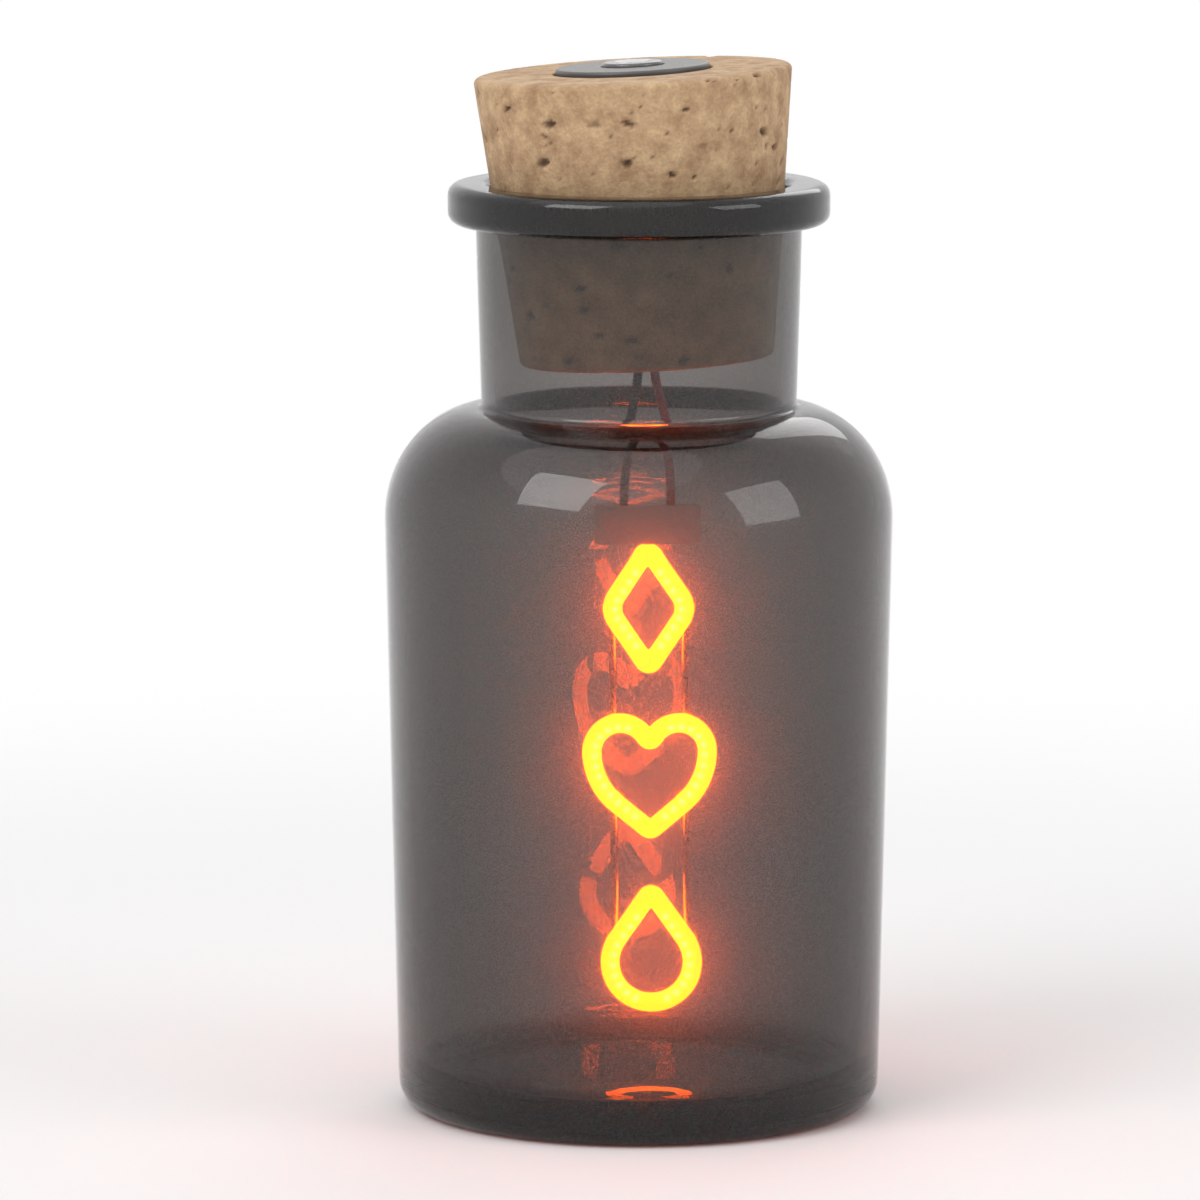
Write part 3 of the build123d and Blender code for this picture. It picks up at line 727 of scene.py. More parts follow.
@dataclass
class FinishLibrary:
    """Every finish of the object, built once."""

    kit: ShaderKit = field(default_factory=ShaderKit)
    made: dict[Slot, bpy.types.Material] = field(default_factory=dict)

    def plans(self) -> dict[Slot, object]:
        """Choose a finish for every slot.

        Returns:
            The finish of each slot.
        """
        pale = (0.85, 0.85, 0.85)
        worn = CorkFittings.edge_attribute
        return {
            Slot.GLASS: SmokedGlassFinish(),
            Slot.CORK: CorkFinish(),
            Slot.CASE: MouldedFinish("battery case", (0.045, 0.045, 0.045), (0.12, 0.12, 0.12)),
            Slot.CAP: MouldedFinish("cap", (0.04, 0.037, 0.035), (0.13, 0.12, 0.11), 0.42, 0.35 * MM,
                                    dust=0.25, edge_attribute=worn),
            Slot.BUTTON: MouldedFinish("button", (0.06, 0.056, 0.053), (0.2, 0.19, 0.18), 0.28, 0.35 * MM,
                                       coat=0.3, edge_attribute=worn),
            Slot.CELL: MouldedFinish("cell can", (0.66, 0.66, 0.67), pale, 0.3, 0.2 * MM,
                                     metallic=1.0, bump=0.2),
            Slot.SPRING: MouldedFinish("plated spring", (0.72, 0.72, 0.74), pale, 0.2, 0.3 * MM,
                                       metallic=1.0),
            Slot.BRASS: MouldedFinish("contact brass", (0.72, 0.52, 0.22), (0.9, 0.72, 0.4), 0.3, 0.3 * MM,
                                      metallic=1.0),
            Slot.BOARD: MouldedFinish("board", (0.03, 0.18, 0.07), (0.25, 0.35, 0.2), 0.35, 0.8 * MM,
                                      coat=0.4),
            Slot.CHIP: MouldedFinish("black moulding", (0.025, 0.025, 0.027), (0.1, 0.1, 0.1), 0.5,
                                     0.2 * MM),
            Slot.RESISTOR: MouldedFinish("lacquer", (0.62, 0.5, 0.33), (0.8, 0.7, 0.5), 0.3, 0.4 * MM,
                                         coat=0.4),
            Slot.PLUNGER: MouldedFinish("white plunger", (0.72, 0.72, 0.7), pale, 0.35, 0.3 * MM),
            Slot.RUBBER: MouldedFinish("black rubber", (0.025, 0.025, 0.025), (0.07, 0.07, 0.07), 0.6,
                                       0.3 * MM, dust=0.3),
            Slot.RED_LEAD: MouldedFinish("red lead", (0.5, 0.02, 0.012), (0.6, 0.1, 0.08), 0.35,
                                         0.6 * MM),
            Slot.BLACK_LEAD: MouldedFinish("black lead", (0.02, 0.02, 0.02), (0.1, 0.1, 0.1), 0.35,
                                           0.6 * MM),
            Slot.INNER_LEAD: MouldedFinish("inner lead", (0.4, 0.02, 0.015), (0.5, 0.1, 0.08), 0.35,
                                           0.6 * MM),
            Slot.HOLDER: MouldedFinish("milky holder", (0.78, 0.76, 0.72), (0.9, 0.88, 0.85), 0.3, 0.9 * MM,
                                       spread=0.12, coat=0.2),
            Slot.LINK: MouldedFinish("tinned link", (0.62, 0.61, 0.6), pale, 0.28, 0.3 * MM, metallic=1.0),
            Slot.JACKET: GlowFinish("lit jacket", (0.9, 0.28, 0.02), (1.0, 0.092, 0.0006),
                                    (1.0, 0.14, 0.024)),
            Slot.STRIP: GlowFinish("lit strip", (0.8, 0.6, 0.3), (1.0, 0.12, 0.004), (1.0, 0.2, 0.016)),
            Slot.LED: GlowFinish("lit chip", (1.0, 0.8, 0.3), (1.0, 0.3, 0.05), (1.0, 0.3, 0.05)),
        }

    def build(self) -> None:
        """Build the material of every slot."""
        for slot, plan in self.plans().items():
            self.made[slot] = plan.build(self.kit)

    def dress(self, piece: bpy.types.Object, slot: Slot) -> None:
        """Give a new piece the finish of its slot.

        Args:
            piece: The new piece.
            slot: The slot whose finish it takes.
        """
        piece.data.materials.clear()
        piece.data.materials.append(self.made[slot])

    def dress_frame(self, frame: dict) -> None:
        """Give every carried-over node its finish through its material slots.

        Args:
            frame: The loaded frame.
        """
        slots = {row["node"]: row["material_slot"] for row in frame["record"]["subparts"]}
        for name, node in frame["nodes"].items():
            finish = self.made[Slot(slots[name])]
            if not node.material_slots:
                node.data.materials.append(finish)
            for place in node.material_slots:
                place.link = "OBJECT"
                place.material = finish


# The object's own pieces


@dataclass
class GlassBottle:
    """The bottle as one turned mesh, a little uneven inside as moulded glass is."""

    finishes: FinishLibrary
    height: float = 125.0 * MM
    body: float = 34.0 * MM
    foot: float = 32.3 * MM
    shoulder_height: float = 79.8 * MM
    shoulder_rise: float = 15.2 * MM
    outer_shoulder_deg: float = 84.0
    outer_shoulder_steps: int = 28
    inner_shoulder_deg: float = 80.0
    inner_shoulder_steps: int = 26
    wall: float = 2.4 * MM
    neck_root: float = 21.1 * MM
    neck_top: float = 21.8 * MM
    neck_wall: float = 1.8 * MM
    neck_fillet: float = 3.0 * MM
    lip: float = 25.55 * MM
    lip_height: float = 5.4 * MM
    lip_round: float = 1.6 * MM
    mouth_round: float = 1.1 * MM
    heel_round: float = 4.5 * MM
    standing_ring: float = 25.0 * MM
    push_up: float = 2.0 * MM
    push_up_share: float = 0.45
    push_up_round_share: float = 0.6
    ring_round_share: float = 2.0
    floor_thickness: float = 3.5 * MM
    floor_edge_share: float = 0.25
    floor_round_share: float = 0.4
    inner_heel_round: float = 4.0 * MM
    unevenness: float = 0.05 * MM
    wave_length: float = 17.0 * MM
    seam_height: float = 0.07 * MM
    step: float = 0.9 * MM
    segments: int = 224

    def outer(self) -> list[Corner]:
        """Draw the outside.

        Returns:
            The corners from the middle of the base to the mouth.
        """
        ring = self.standing_ring
        lip_underside = self.height - self.lip_height
        shoulder = arc_corners(
            Vector((self.neck_root, self.shoulder_height)), (self.body - self.neck_root, self.shoulder_rise),
            0.0, self.outer_shoulder_deg, self.outer_shoulder_steps)
        return [
            Corner(0.0, self.push_up),
            Corner(ring * self.push_up_share, self.push_up, ring * self.push_up_round_share),
            Corner(ring, 0.0, self.ring_round_share * self.push_up),
            Corner(self.foot, 0.0, self.heel_round),
            *shoulder,
            Corner(self.neck_root, self.shoulder_height + self.shoulder_rise, self.neck_fillet),
            Corner(self.neck_top, lip_underside, self.mouth_round / 2),
            Corner(self.lip, lip_underside, self.lip_round),
            Corner(self.lip, self.height, self.lip_round),
        ]

    def inner(self) -> list[Corner]:
        """Draw the inside.

        Returns:
            The corners from the mouth to the middle of the floor.
        """
        bore_root = self.neck_root - self.neck_wall
        rise = self.shoulder_rise - self.wall
        shoulder = arc_corners(
            Vector((bore_root, self.shoulder_height)), (self.body - self.wall - bore_root, rise),
            self.inner_shoulder_deg, 0.0, self.inner_shoulder_steps)
        floor_edge = self.floor_thickness + self.wall * self.floor_edge_share
        floor_middle = self.push_up + self.floor_thickness
        inner_foot = self.foot - self.wall
        return [
            Corner(self.neck_top - self.neck_wall, self.height, self.mouth_round),
            Corner(bore_root, self.shoulder_height + rise, self.neck_fillet),
            *shoulder,
            Corner(inner_foot, floor_edge, self.inner_heel_round),
            Corner(inner_foot / 2, floor_middle, inner_foot * self.floor_round_share),
            Corner(0.0, floor_middle),
        ]

    def moulded(self, place: Vector, normal: Vector) -> Vector:
        """Make one point wavy on the inside, or raise it on the mould seams outside.

        Args:
            place: The point.
            normal: The way that the glass faces there.

        Returns:
            The point's new place.
        """
        seam_half = math.pi * self.foot / self.segments
        faces_in = place.x * normal.x + place.y * normal.y < 0.0
        on_floor = place.xy.length < self.standing_ring
        if place.z > self.floor_thickness and (faces_in or on_floor):
            return place - normal * noise.noise(place / self.wave_length) * self.unevenness
        if abs(place.y) < seam_half and self.heel_round < place.z < self.height - self.lip_height:
            return place + normal * self.seam_height
        return place

    def build(self) -> None:
        """Turn the bottle, give it its moulded surface and set it in the frame."""
        outline = rounded(self.outer() + self.inner(), False, self.step)
        bottle = lathe("bottle_glass", outline, False, self.segments, Matrix.Identity(4))
        mesh = bottle.data
        places = [vertex.co.copy() for vertex in mesh.vertices]
        normals = [vertex.normal.copy() for vertex in mesh.vertices]
        set_places(mesh, [self.moulded(place, normal) for place, normal in zip(places, normals)])
        self.finishes.dress(bottle, Slot.GLASS)
        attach(bottle, Body.BOTTLE.value)
        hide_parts("glass_bottle")
        LOG.info("bottle: %d points", len(mesh.vertices))


@dataclass
class TiltedAxis:
    """The cork's own axis, which leans a little to the left in the mouth."""

    tilt_deg: float = 2.9
    offset: float = 0.1 * MM
    mouth_height: float = 125.0 * MM
    mouth_level: float = 23.5 * MM

    def matrix(self) -> Matrix:
        """Find the cork's frame.

        Returns:
            The frame at the middle of the cork's foot, with Z up the cork.
        """
        turn = Matrix.Rotation(-math.radians(self.tilt_deg), 4, "Y")
        up = turn @ Vector((0.0, 0.0, 1.0))
        foot = Vector((-self.offset, 0.0, self.mouth_height)) - up * self.mouth_level
        return Matrix.Translation(foot) @ turn


@dataclass(frozen=True)
class PitPattern:
    """Where the cork's pits lie: large ones and fine ones, drawn out round the cork."""

    spacing: float = 3.6 * MM
    squeeze: float = 1.9
    warp_scale: float = 2.3
    warp: float = 0.22
    large_seed: float = 7.13
    large_least: float = 0.10
    large_range: float = 0.26
    large_slope: float = 0.45
    fine_scale: float = 3.1
    fine_shift: tuple[float, float, float] = (5.2, 1.7, 9.4)
    fine_seed: float = 3.71
    fine_range: float = 0.24
    fine_slope: float = 0.08
    fine_depth: float = 0.6

    @staticmethod
    def nearest(place: Vector, seed: float) -> tuple[float, float]:
        """Find the nearest pit.

        Args:
            place: A place in the pattern.
            seed: What sets this kind of pit apart.

        Returns:
            The distance to the pit's middle and the pit's share of the full size.
        """
        distances, middles = noise.voronoi(place)
        return distances[0], max(0.0, noise.cell(middles[0] * seed))

    def share(self, place: Vector) -> float:
        """Measure how deep in a pit a point lies.

        Args:
            place: The point.

        Returns:
            0 on the skin, 1 at the bottom of a large pit.
        """
        stretched = Vector((place.x, place.y, place.z * self.squeeze)) / self.spacing
        bent = stretched * self.warp_scale
        warp = Vector((noise.noise(bent), noise.noise(bent.yzx), noise.noise(bent.zxy))) * self.warp
        distance, luck = self.nearest(stretched + warp, self.large_seed)
        size = self.large_least + self.large_range * luck
        large = clamped((size - distance) / (size * self.large_slope))
        distance, luck = self.nearest(stretched * self.fine_scale + Vector(self.fine_shift), self.fine_seed)
        fine = clamped((self.fine_range * luck - distance) / self.fine_slope) * self.fine_depth
        return max(large, fine)


@dataclass
class CorkStopper:
    """The tapered cork with its pits, and the stepped pocket for the battery case."""

    finishes: FinishLibrary
    axis: TiltedAxis
    pits: PitPattern = PitPattern()
    pit_attribute = "cork_pit"
    height: float = 38.5 * MM
    mouth_radius: float = 19.65 * MM
    taper_deg: float = 6.3
    edge_round: float = 0.8 * MM
    end_margin: float = 0.01 * MM
    seat_radius: float = 10.6 * MM
    seat_depth: float = 1.6 * MM
    pocket_radius: float = 8.5 * MM
    pocket_foot: float = 6.7 * MM
    bore_radius: float = 3.2 * MM
    pit_depth: float = 0.55 * MM
    skin_roughness: float = 0.05 * MM
    skin_grain: float = 0.9 * MM
    step: float = 0.38 * MM
    segments: int = 312

    def radius_at(self, level: float) -> float:
        """Return the cork's radius at a height above its foot."""
        return self.mouth_radius + (level - self.axis.mouth_level) * math.tan(math.radians(self.taper_deg))

    def outline(self) -> list[Vector]:
        """Draw the cork's wall.

        Returns:
            The closed outline's points.
        """
        seat = self.height - self.seat_depth
        corners = [
            Corner(self.bore_radius, 0.0),
            Corner(self.radius_at(0.0), 0.0, self.edge_round),
            Corner(self.radius_at(self.height), self.height, self.edge_round),
            Corner(self.seat_radius, self.height, self.edge_round / 3),
            Corner(self.seat_radius, seat),
            Corner(self.pocket_radius, seat),
            Corner(self.pocket_radius, self.pocket_foot),
            Corner(self.bore_radius, self.pocket_foot),
        ]
        return rounded(corners, True, self.step)

    def sunk(self, place: Vector, normal: Vector) -> tuple[float, Vector]:
        """Sink one point into the pits, if it lies on the cork's skin.

        Args:
            place: The point.
            normal: The way that the cork faces there.

        Returns:
            How deep in a pit the point lies, and its new place.
        """
        reach = place.xy.length
        on_side = reach > self.radius_at(place.z) - self.edge_round
        on_end = place.z > self.height - self.end_margin or place.z < self.end_margin
        if not (on_side or (on_end and reach > self.seat_radius + self.edge_round)):
            return 0.0, place
        share = self.pits.share(place)
        fuzz = noise.noise(place / self.skin_grain) * self.skin_roughness
        return share, place - normal * (share * self.pit_depth + abs(fuzz))

    def build(self) -> None:
        """Turn the cork, sink its pits and set it in the frame."""
        matrix = self.axis.matrix()
        cork = lathe("cork_stopper", self.outline(), True, self.segments, Matrix.Identity(4))
        mesh = cork.data
        skin = [self.sunk(vertex.co.copy(), vertex.normal.copy()) for vertex in mesh.vertices]
        set_places(mesh, [matrix @ place for _, place in skin])
        set_shares(mesh, self.pit_attribute, [share for share, _ in skin])
        self.finishes.dress(cork, Slot.CORK)
        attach(cork, Body.CORK.value)
        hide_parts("cork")
        LOG.info("cork: %d points", len(mesh.vertices))


@dataclass
class CorkFittings:
    """The turned fittings that show on the cork: the cap, the button and the gland."""

    finishes: FinishLibrary
    axis: TiltedAxis
    edge_attribute = "worn_edge"
    full_bend_deg: float = 9.0
    sharp_deg: float = 35.0
    axis_margin: float = 0.01 * MM
    segments: int = 128
    step: float = 0.4 * MM
    cap_radius: float = 10.3 * MM
    cap_top: float = 39.2 * MM
    cap_underside: float = 38.1 * MM
    cap_skin: float = 0.9 * MM
    cap_round: float = 0.45 * MM
    plug_radius: float = 6.9 * MM
    plug_foot: float = 31.1 * MM
    groove_radius: float = 6.0 * MM
    groove_level: float = 34.9 * MM
    groove_half: float = 0.55 * MM
    board_radius: float = 6.3 * MM
    board_seat: float = 31.9 * MM
    cavity_radius: float = 5.3 * MM
    hole_radius: float = 4.25 * MM
    button_radius: float = 4.0 * MM
    button_proud: float = 0.5 * MM
    button_flange: float = 4.8 * MM
    button_foot: float = 37.5 * MM
    button_flange_top: float = 38.1 * MM
    button_dish: float = 0.25 * MM
    dish_rim_share: float = 0.8
    dish_rim_round_share: float = 0.2
    dish_floor_share: float = 0.4
    gland_radius: float = 3.1 * MM
    gland_bore: float = 2.4 * MM
    gland_flange: float = 4.3 * MM
    gland_thickness: float = 1.2 * MM
    gland_rim_round_share: float = 0.4
    gland_bore_round_share: float = 0.25
    gland_top: float = 6.7 * MM

    def cap(self) -> bpy.types.Object:
        """Build the battery cap with the groove for its seal.

        Returns:
            The cap.
        """
        corners = [
            Corner(self.hole_radius, self.cap_top, self.cap_round / 2),
            Corner(self.cap_radius, self.cap_top, self.cap_round),
            Corner(self.cap_radius, self.cap_underside, self.cap_round / 3),
            Corner(self.plug_radius, self.cap_underside),
            Corner(self.plug_radius, self.groove_level + self.groove_half),
            Corner(self.groove_radius, self.groove_level + self.groove_half),
            Corner(self.groove_radius, self.groove_level - self.groove_half),
            Corner(self.plug_radius, self.groove_level - self.groove_half),
            Corner(self.plug_radius, self.plug_foot, self.cap_round / 2),
            Corner(self.board_radius, self.plug_foot),
            Corner(self.board_radius, self.board_seat),
            Corner(self.cavity_radius, self.board_seat),
            Corner(self.cavity_radius, self.cap_top - self.cap_skin),
            Corner(self.hole_radius, self.cap_top - self.cap_skin),
        ]
        return self._turned("cork_cap", corners, True, Slot.CAP, Body.CAP, "battery_cap")

    def button(self) -> bpy.types.Object:
        """Build the power button with its dished top.

        Returns:
            The button.
        """
        top = self.cap_top + self.button_proud
        rim = self.button_radius * self.dish_rim_share
        floor = self.button_radius * self.dish_floor_share
        corners = [
            Corner(0.0, self.button_foot),
            Corner(self.button_flange, self.button_foot, self.cap_round / 3),
            Corner(self.button_flange, self.button_flange_top, self.cap_round / 3),
            Corner(self.button_radius, self.button_flange_top),
            Corner(self.button_radius, top, self.cap_round),
            Corner(rim, top, self.button_radius * self.dish_rim_round_share),
            Corner(floor, top - self.button_dish, floor),
            Corner(0.0, top - self.button_dish),
        ]
        return self._turned("cap_button", corners, False, Slot.BUTTON, Body.BUTTON, "power_button")

    def gland(self) -> bpy.types.Object:
        """Build the rubber gland that the leads leave by.

        Returns:
            The gland.
        """
        rim_round = self.gland_thickness * self.gland_rim_round_share
        bore_round = self.gland_thickness * self.gland_bore_round_share
        corners = [
            Corner(self.gland_bore, self.gland_top),
            Corner(self.gland_radius, self.gland_top),
            Corner(self.gland_radius, 0.0),
            Corner(self.gland_flange, 0.0),
            Corner(self.gland_flange, -self.gland_thickness, rim_round),
            Corner(self.gland_bore, -self.gland_thickness, bore_round),
        ]
        return self._turned("lead_gland", corners, True, Slot.RUBBER, Body.CORK, "wire_gland")

    def edge_shares(self, outline: Sequence[Vector]) -> list[float]:
        """Find how worn each point of an outline is.

        Args:
            outline: The outline's points.

        Returns:
            For each point, 1 on an outward corner and 0 on flats, hollows and the axis.
        """
        ahead = [*outline[1:], outline[0]]
        area = sum(point.x * after.y - after.x * point.y for point, after in zip(outline, ahead))
        shares = []
        for index, point in enumerate(outline):
            before = point - outline[index - 1]
            after = ahead[index] - point
            turn = -math.copysign(1.0, area) * before.angle_signed(after)
            nearest = min(abs(outline[index - 1].x), abs(point.x), abs(ahead[index].x))
            worn = clamped(math.degrees(turn) / self.full_bend_deg)
            shares.append(0.0 if nearest < self.axis_margin else worn)
        return shares

    def _turned(self, name: str, corners: Sequence[Corner], closed: bool, slot: Slot, body: Body,
                node: str) -> bpy.types.Object:
        """Turn one fitting about the cork's axis and set it in the frame.

        Args:
            name: The fitting's name.
            corners: Its outline's corners.
            closed: Whether the outline closes on itself away from the axis.
            slot: The slot whose finish it takes.
            body: The body that it rides on.
            node: The node that it replaces.

        Returns:
            The fitting.
        """
        outline = rounded(corners, closed, self.step)
        piece = lathe(name, outline, closed, self.segments, self.axis.matrix())
        worn = []
        for point, share in zip(outline, self.edge_shares(outline)):
            worn.extend([share] * (1 if abs(point.x) < ON_AXIS else self.segments))
        set_shares(piece.data, self.edge_attribute, worn)
        piece.data.set_sharp_from_angle(angle=math.radians(self.sharp_deg))
        self.finishes.dress(piece, slot)
        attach(piece, body.value)
        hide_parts(node)
        return piece

    def build(self) -> None:
        """Build the three fittings."""
        for piece in (self.cap(), self.button(), self.gland()):
            LOG.info("%s: %d points", piece.name, len(piece.data.vertices))


@dataclass
class ColumnFrame:
    """The upright frame of the hanging column, from its pivot in the gland."""

    axis: TiltedAxis
    pivot_level: float = 2.0 * MM
    lean_deg: float = 0.5
    holder_drop: float = 20.9 * MM
    holder_height: float = 6.0 * MM

    def matrix(self) -> Matrix:
        """Return the frame at the pivot: X to the right and Z up the column."""
        pivot = self.axis.matrix() @ Vector((0.0, 0.0, self.pivot_level))
        return Matrix.Translation(pivot) @ Matrix.Rotation(-math.radians(self.lean_deg), 4, "Y")

    def place(self, out: float, height: float, back: float = 0.0) -> Vector:
        """Return a point of the column in the row frame."""
        return self.matrix() @ Vector((out, back, height))


class Figure(Enum):
    """The three lit figures, from the top down."""

    LOZENGE = "lozenge"
    HEART = "heart"
    DROP = "drop"


@dataclass
class LitFigures:
    """The three figures of light filament: closed outlines with a round jacket."""

    finishes: FinishLibrary
    frame: ColumnFrame
    tube: float = 1.3 * MM
    point_round: float = 0.7 * MM
    tip_entry: float = 1.5 * MM
    lozenge_half: float = 4.85 * MM
    lozenge_slope: float = math.radians(56.0)
    lozenge_round: float = 3.0 * MM
    heart_half: float = 7.75 * MM
    heart_gap: float = 3.8 * MM
    lobe: float = 3.85 * MM
    lobe_steps: int = 24
    notch_slope: float = math.radians(53.0)
    flank: float = 9.44 * MM
    flank_steps: int = 16
    heart_slope: float = math.radians(40.0)
    drop_round: float = 5.6 * MM
    drop_gap: float = 4.3 * MM
    drop_slope: float = math.radians(54.7)
    drop_steps: int = 30
    step: float = 0.25 * MM
    ring_steps: int = 24
    voxel: float = 0.13 * MM
    ease: float = 0.5
    ease_rounds: int = 4
    weld: float = 0.01 * MM
    spot_reach: float = 0.42 * MM

    @property
    def lozenge_sharp(self) -> float:
        """How wide half the lozenge would be if its side corners weren't round."""
        return self.lozenge_half + self.lozenge_round * (1.0 / math.sin(self.lozenge_slope) - 1.0)

    @property
    def lozenge_rise(self) -> float:
        """How far the lozenge's points lie above and below its middle."""
        return self.lozenge_sharp * math.tan(self.lozenge_slope)

    def heart_tip(self, height: float) -> float:
        """Return the height of the heart's lower point, from the height of its widest place."""
        flank_out = self.heart_half - self.flank + self.flank * math.sin(self.heart_slope)
        return height - self.flank * math.cos(self.heart_slope) - flank_out * math.tan(self.heart_slope)

    def heights(self) -> dict[Figure, float]:
        """Hang the figures below one another.

        Returns:
            The height in the column of each figure's widest place.
        """
        holder_foot = -self.frame.holder_drop - self.frame.holder_height
        point = self.tube / math.cos(self.lozenge_slope)
        lozenge = holder_foot + self.tip_entry - point - self.lozenge_rise
        heart = lozenge - self.lozenge_rise - point - self.heart_gap - self.tube - self.lobe
        below_heart = self.heart_tip(heart) - self.tube / math.cos(self.heart_slope) - self.drop_gap
        widening = math.cos(self.drop_slope)
        drop = below_heart - self.tube / widening - self.drop_round / widening
        return {Figure.LOZENGE: lozenge, Figure.HEART: heart, Figure.DROP: drop}

    def lozenge(self, height: float) -> list[Corner]:
        """Return the lozenge's right half, from its top on the middle line to its foot there."""
        return [
            Corner(0.0, height + self.lozenge_rise, self.point_round),
            Corner(self.lozenge_sharp, height, self.lozenge_round),
            Corner(0.0, height - self.lozenge_rise, self.point_round),
        ]

    def heart(self, height: float) -> list[Corner]:
        """Draw the heart's right half.

        Args:
            height: The height of its widest place.

        Returns:
            The corners from the notch to the lower point.
        """
        notch_angle = 90.0 + math.degrees(self.notch_slope)
        lobe_centre = Vector((self.heart_half - self.lobe, height))
        lobe = arc_corners(lobe_centre, (self.lobe, self.lobe), notch_angle, 0.0, self.lobe_steps)
        flank_centre = Vector((self.heart_half - self.flank, height))
        flank_angle = -(90.0 - math.degrees(self.heart_slope))
        flank = arc_corners(flank_centre, (self.flank, self.flank), flank_angle / self.flank_steps,
                            flank_angle, self.flank_steps - 1)
        notch = lobe[0].height - lobe[0].out * math.tan(self.notch_slope)
        tip = Corner(0.0, self.heart_tip(height), self.point_round)
        return [Corner(0.0, notch, self.point_round), *lobe, *flank, tip]

    def drop(self, height: float) -> list[Corner]:
        """Draw the drop's right half.

        Args:
            height: The height of its widest place.

        Returns:
            The corners from the point to the lowest place.
        """
        point_angle = 90.0 - math.degrees(self.drop_slope)
        radii = (self.drop_round, self.drop_round)
        bowl = arc_corners(Vector((0.0, height)), radii, point_angle, -90.0, self.drop_steps)
        return [Corner(0.0, height + self.drop_round / math.cos(self.drop_slope), self.point_round), *bowl]

    def path(self, figure: Figure, height: float) -> list[Vector]:
        """Draw a figure's closed middle line.

        Args:
            figure: The figure.
            height: The height of its widest place.

        Returns:
            The line's points.
        """
        halves = {Figure.LOZENGE: self.lozenge, Figure.HEART: self.heart, Figure.DROP: self.drop}
        right = halves[figure](height)
        left = [Corner(-corner.out, corner.height, corner.rounding) for corner in reversed(right[1:-1])]
        return rounded([*right, *left], True, self.step)

    def swept(self, name: str, path: Sequence[Vector]) -> bpy.types.Object:
        """Sweep the jacket's circle along a closed middle line in the column's plane.

        Args:
            name: The jacket's name.
            path: The middle line's points.

        Returns:
            The jacket.
        """
        matrix = self.frame.matrix()
        vertices = []
        faces = []
        count = len(path)
        for index, point in enumerate(path):
            along = (path[(index + 1) % count] - path[index - 1]).normalized()
            across = Vector((along.y, -along.x))
            here = index * self.ring_steps
            there = (index + 1) % count * self.ring_steps
            for turn in range(self.ring_steps):
                angle = math.tau * turn / self.ring_steps
                flat = point + across * (self.tube * math.cos(angle))
                vertices.append(matrix @ Vector((flat.x, self.tube * math.sin(angle), flat.y)))
                following = (turn + 1) % self.ring_steps
                faces.append((here + turn, here + following, there + following, there + turn))
        return closed_mesh(name, vertices, faces)

    def soften(self, piece: bpy.types.Object) -> None:
        """Merge the folds at the figure's points into one smooth skin.

        Args:
            piece: The jacket, whose mesh is replaced.
        """
        merge = piece.modifiers.new("merge", "REMESH")
        merge.mode = "VOXEL"
        merge.voxel_size = self.voxel
        ease = piece.modifiers.new("ease", "SMOOTH")
        ease.factor = self.ease
        ease.iterations = self.ease_rounds
        graph = bpy.context.evaluated_depsgraph_get()
        shaped = bpy.data.meshes.new_from_object(piece.evaluated_get(graph))
        piece.modifiers.clear()
        rough = piece.data
        piece.data = shaped
        shaped.name = piece.name
        bpy.data.meshes.remove(rough)
        shaped.shade_smooth()

    def chip_centres(self, node: bpy.types.Object) -> list[Vector]:
        """Find the chips in a node of separate chips.

        Args:
            node: The chips' node.

        Returns:
            The centre of each chip.
        """
        sculpt = bmesh.new()
        sculpt.from_mesh(node.data)
        bmesh.ops.remove_doubles(sculpt, verts=sculpt.verts, dist=self.weld)
        sculpt.verts.index_update()
        reached: set[int] = set()
        centres = []
        for seed in sculpt.verts:
            if seed.index in reached:
                continue
            reached.add(seed.index)
            island = [seed]
            for vertex in island:
                for edge in vertex.link_edges:
                    neighbour = edge.other_vert(vertex)
                    if neighbour.index not in reached:
                        reached.add(neighbour.index)
                        island.append(neighbour)
            centres.append(sum((vertex.co for vertex in island), Vector()) / len(island))
        sculpt.free()
        return centres

    def mark_spots(self, piece: bpy.types.Object, chips: Sequence[Vector]) -> None:
        """Store how near each point of a jacket lies to a chip, seen from the front.

        Args:
            piece: The jacket.
            chips: The centres of its chips.
        """
        shares = []
        for vertex in piece.data.vertices:
            flat = vertex.co.xz
            nearest = min((flat - chip.xz).length for chip in chips)
            shares.append(math.exp(-((nearest / self.spot_reach) ** 2)))
        set_shares(piece.data, GlowFinish.spot_attribute, shares)

    def build(self, nodes: dict[str, bpy.types.Object]) -> None:
        """Build the three figures and set them in the frame.

        Args:
            nodes: The frame's nodes by name.
        """
        for figure, height in self.heights().items():
            jacket = self.swept(f"{figure.value}_jacket", self.path(figure, height))
            self.soften(jacket)
            self.mark_spots(jacket, self.chip_centres(nodes[f"{figure.value}_chips"]))
            self.finishes.dress(jacket, Slot.JACKET)
            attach(jacket, Body.COLUMN.value)
            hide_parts(f"{figure.value}_tube")
            LOG.info("%s: %d points", jacket.name, len(jacket.data.vertices))


@dataclass(frozen=True)
class LeadPlan:
    """One lead: its name, finish and node, its side, and how far its middle bows out and back."""

    name: str
    slot: Slot
    node: str
    side: float
    bow_share: float
    depth_share: float


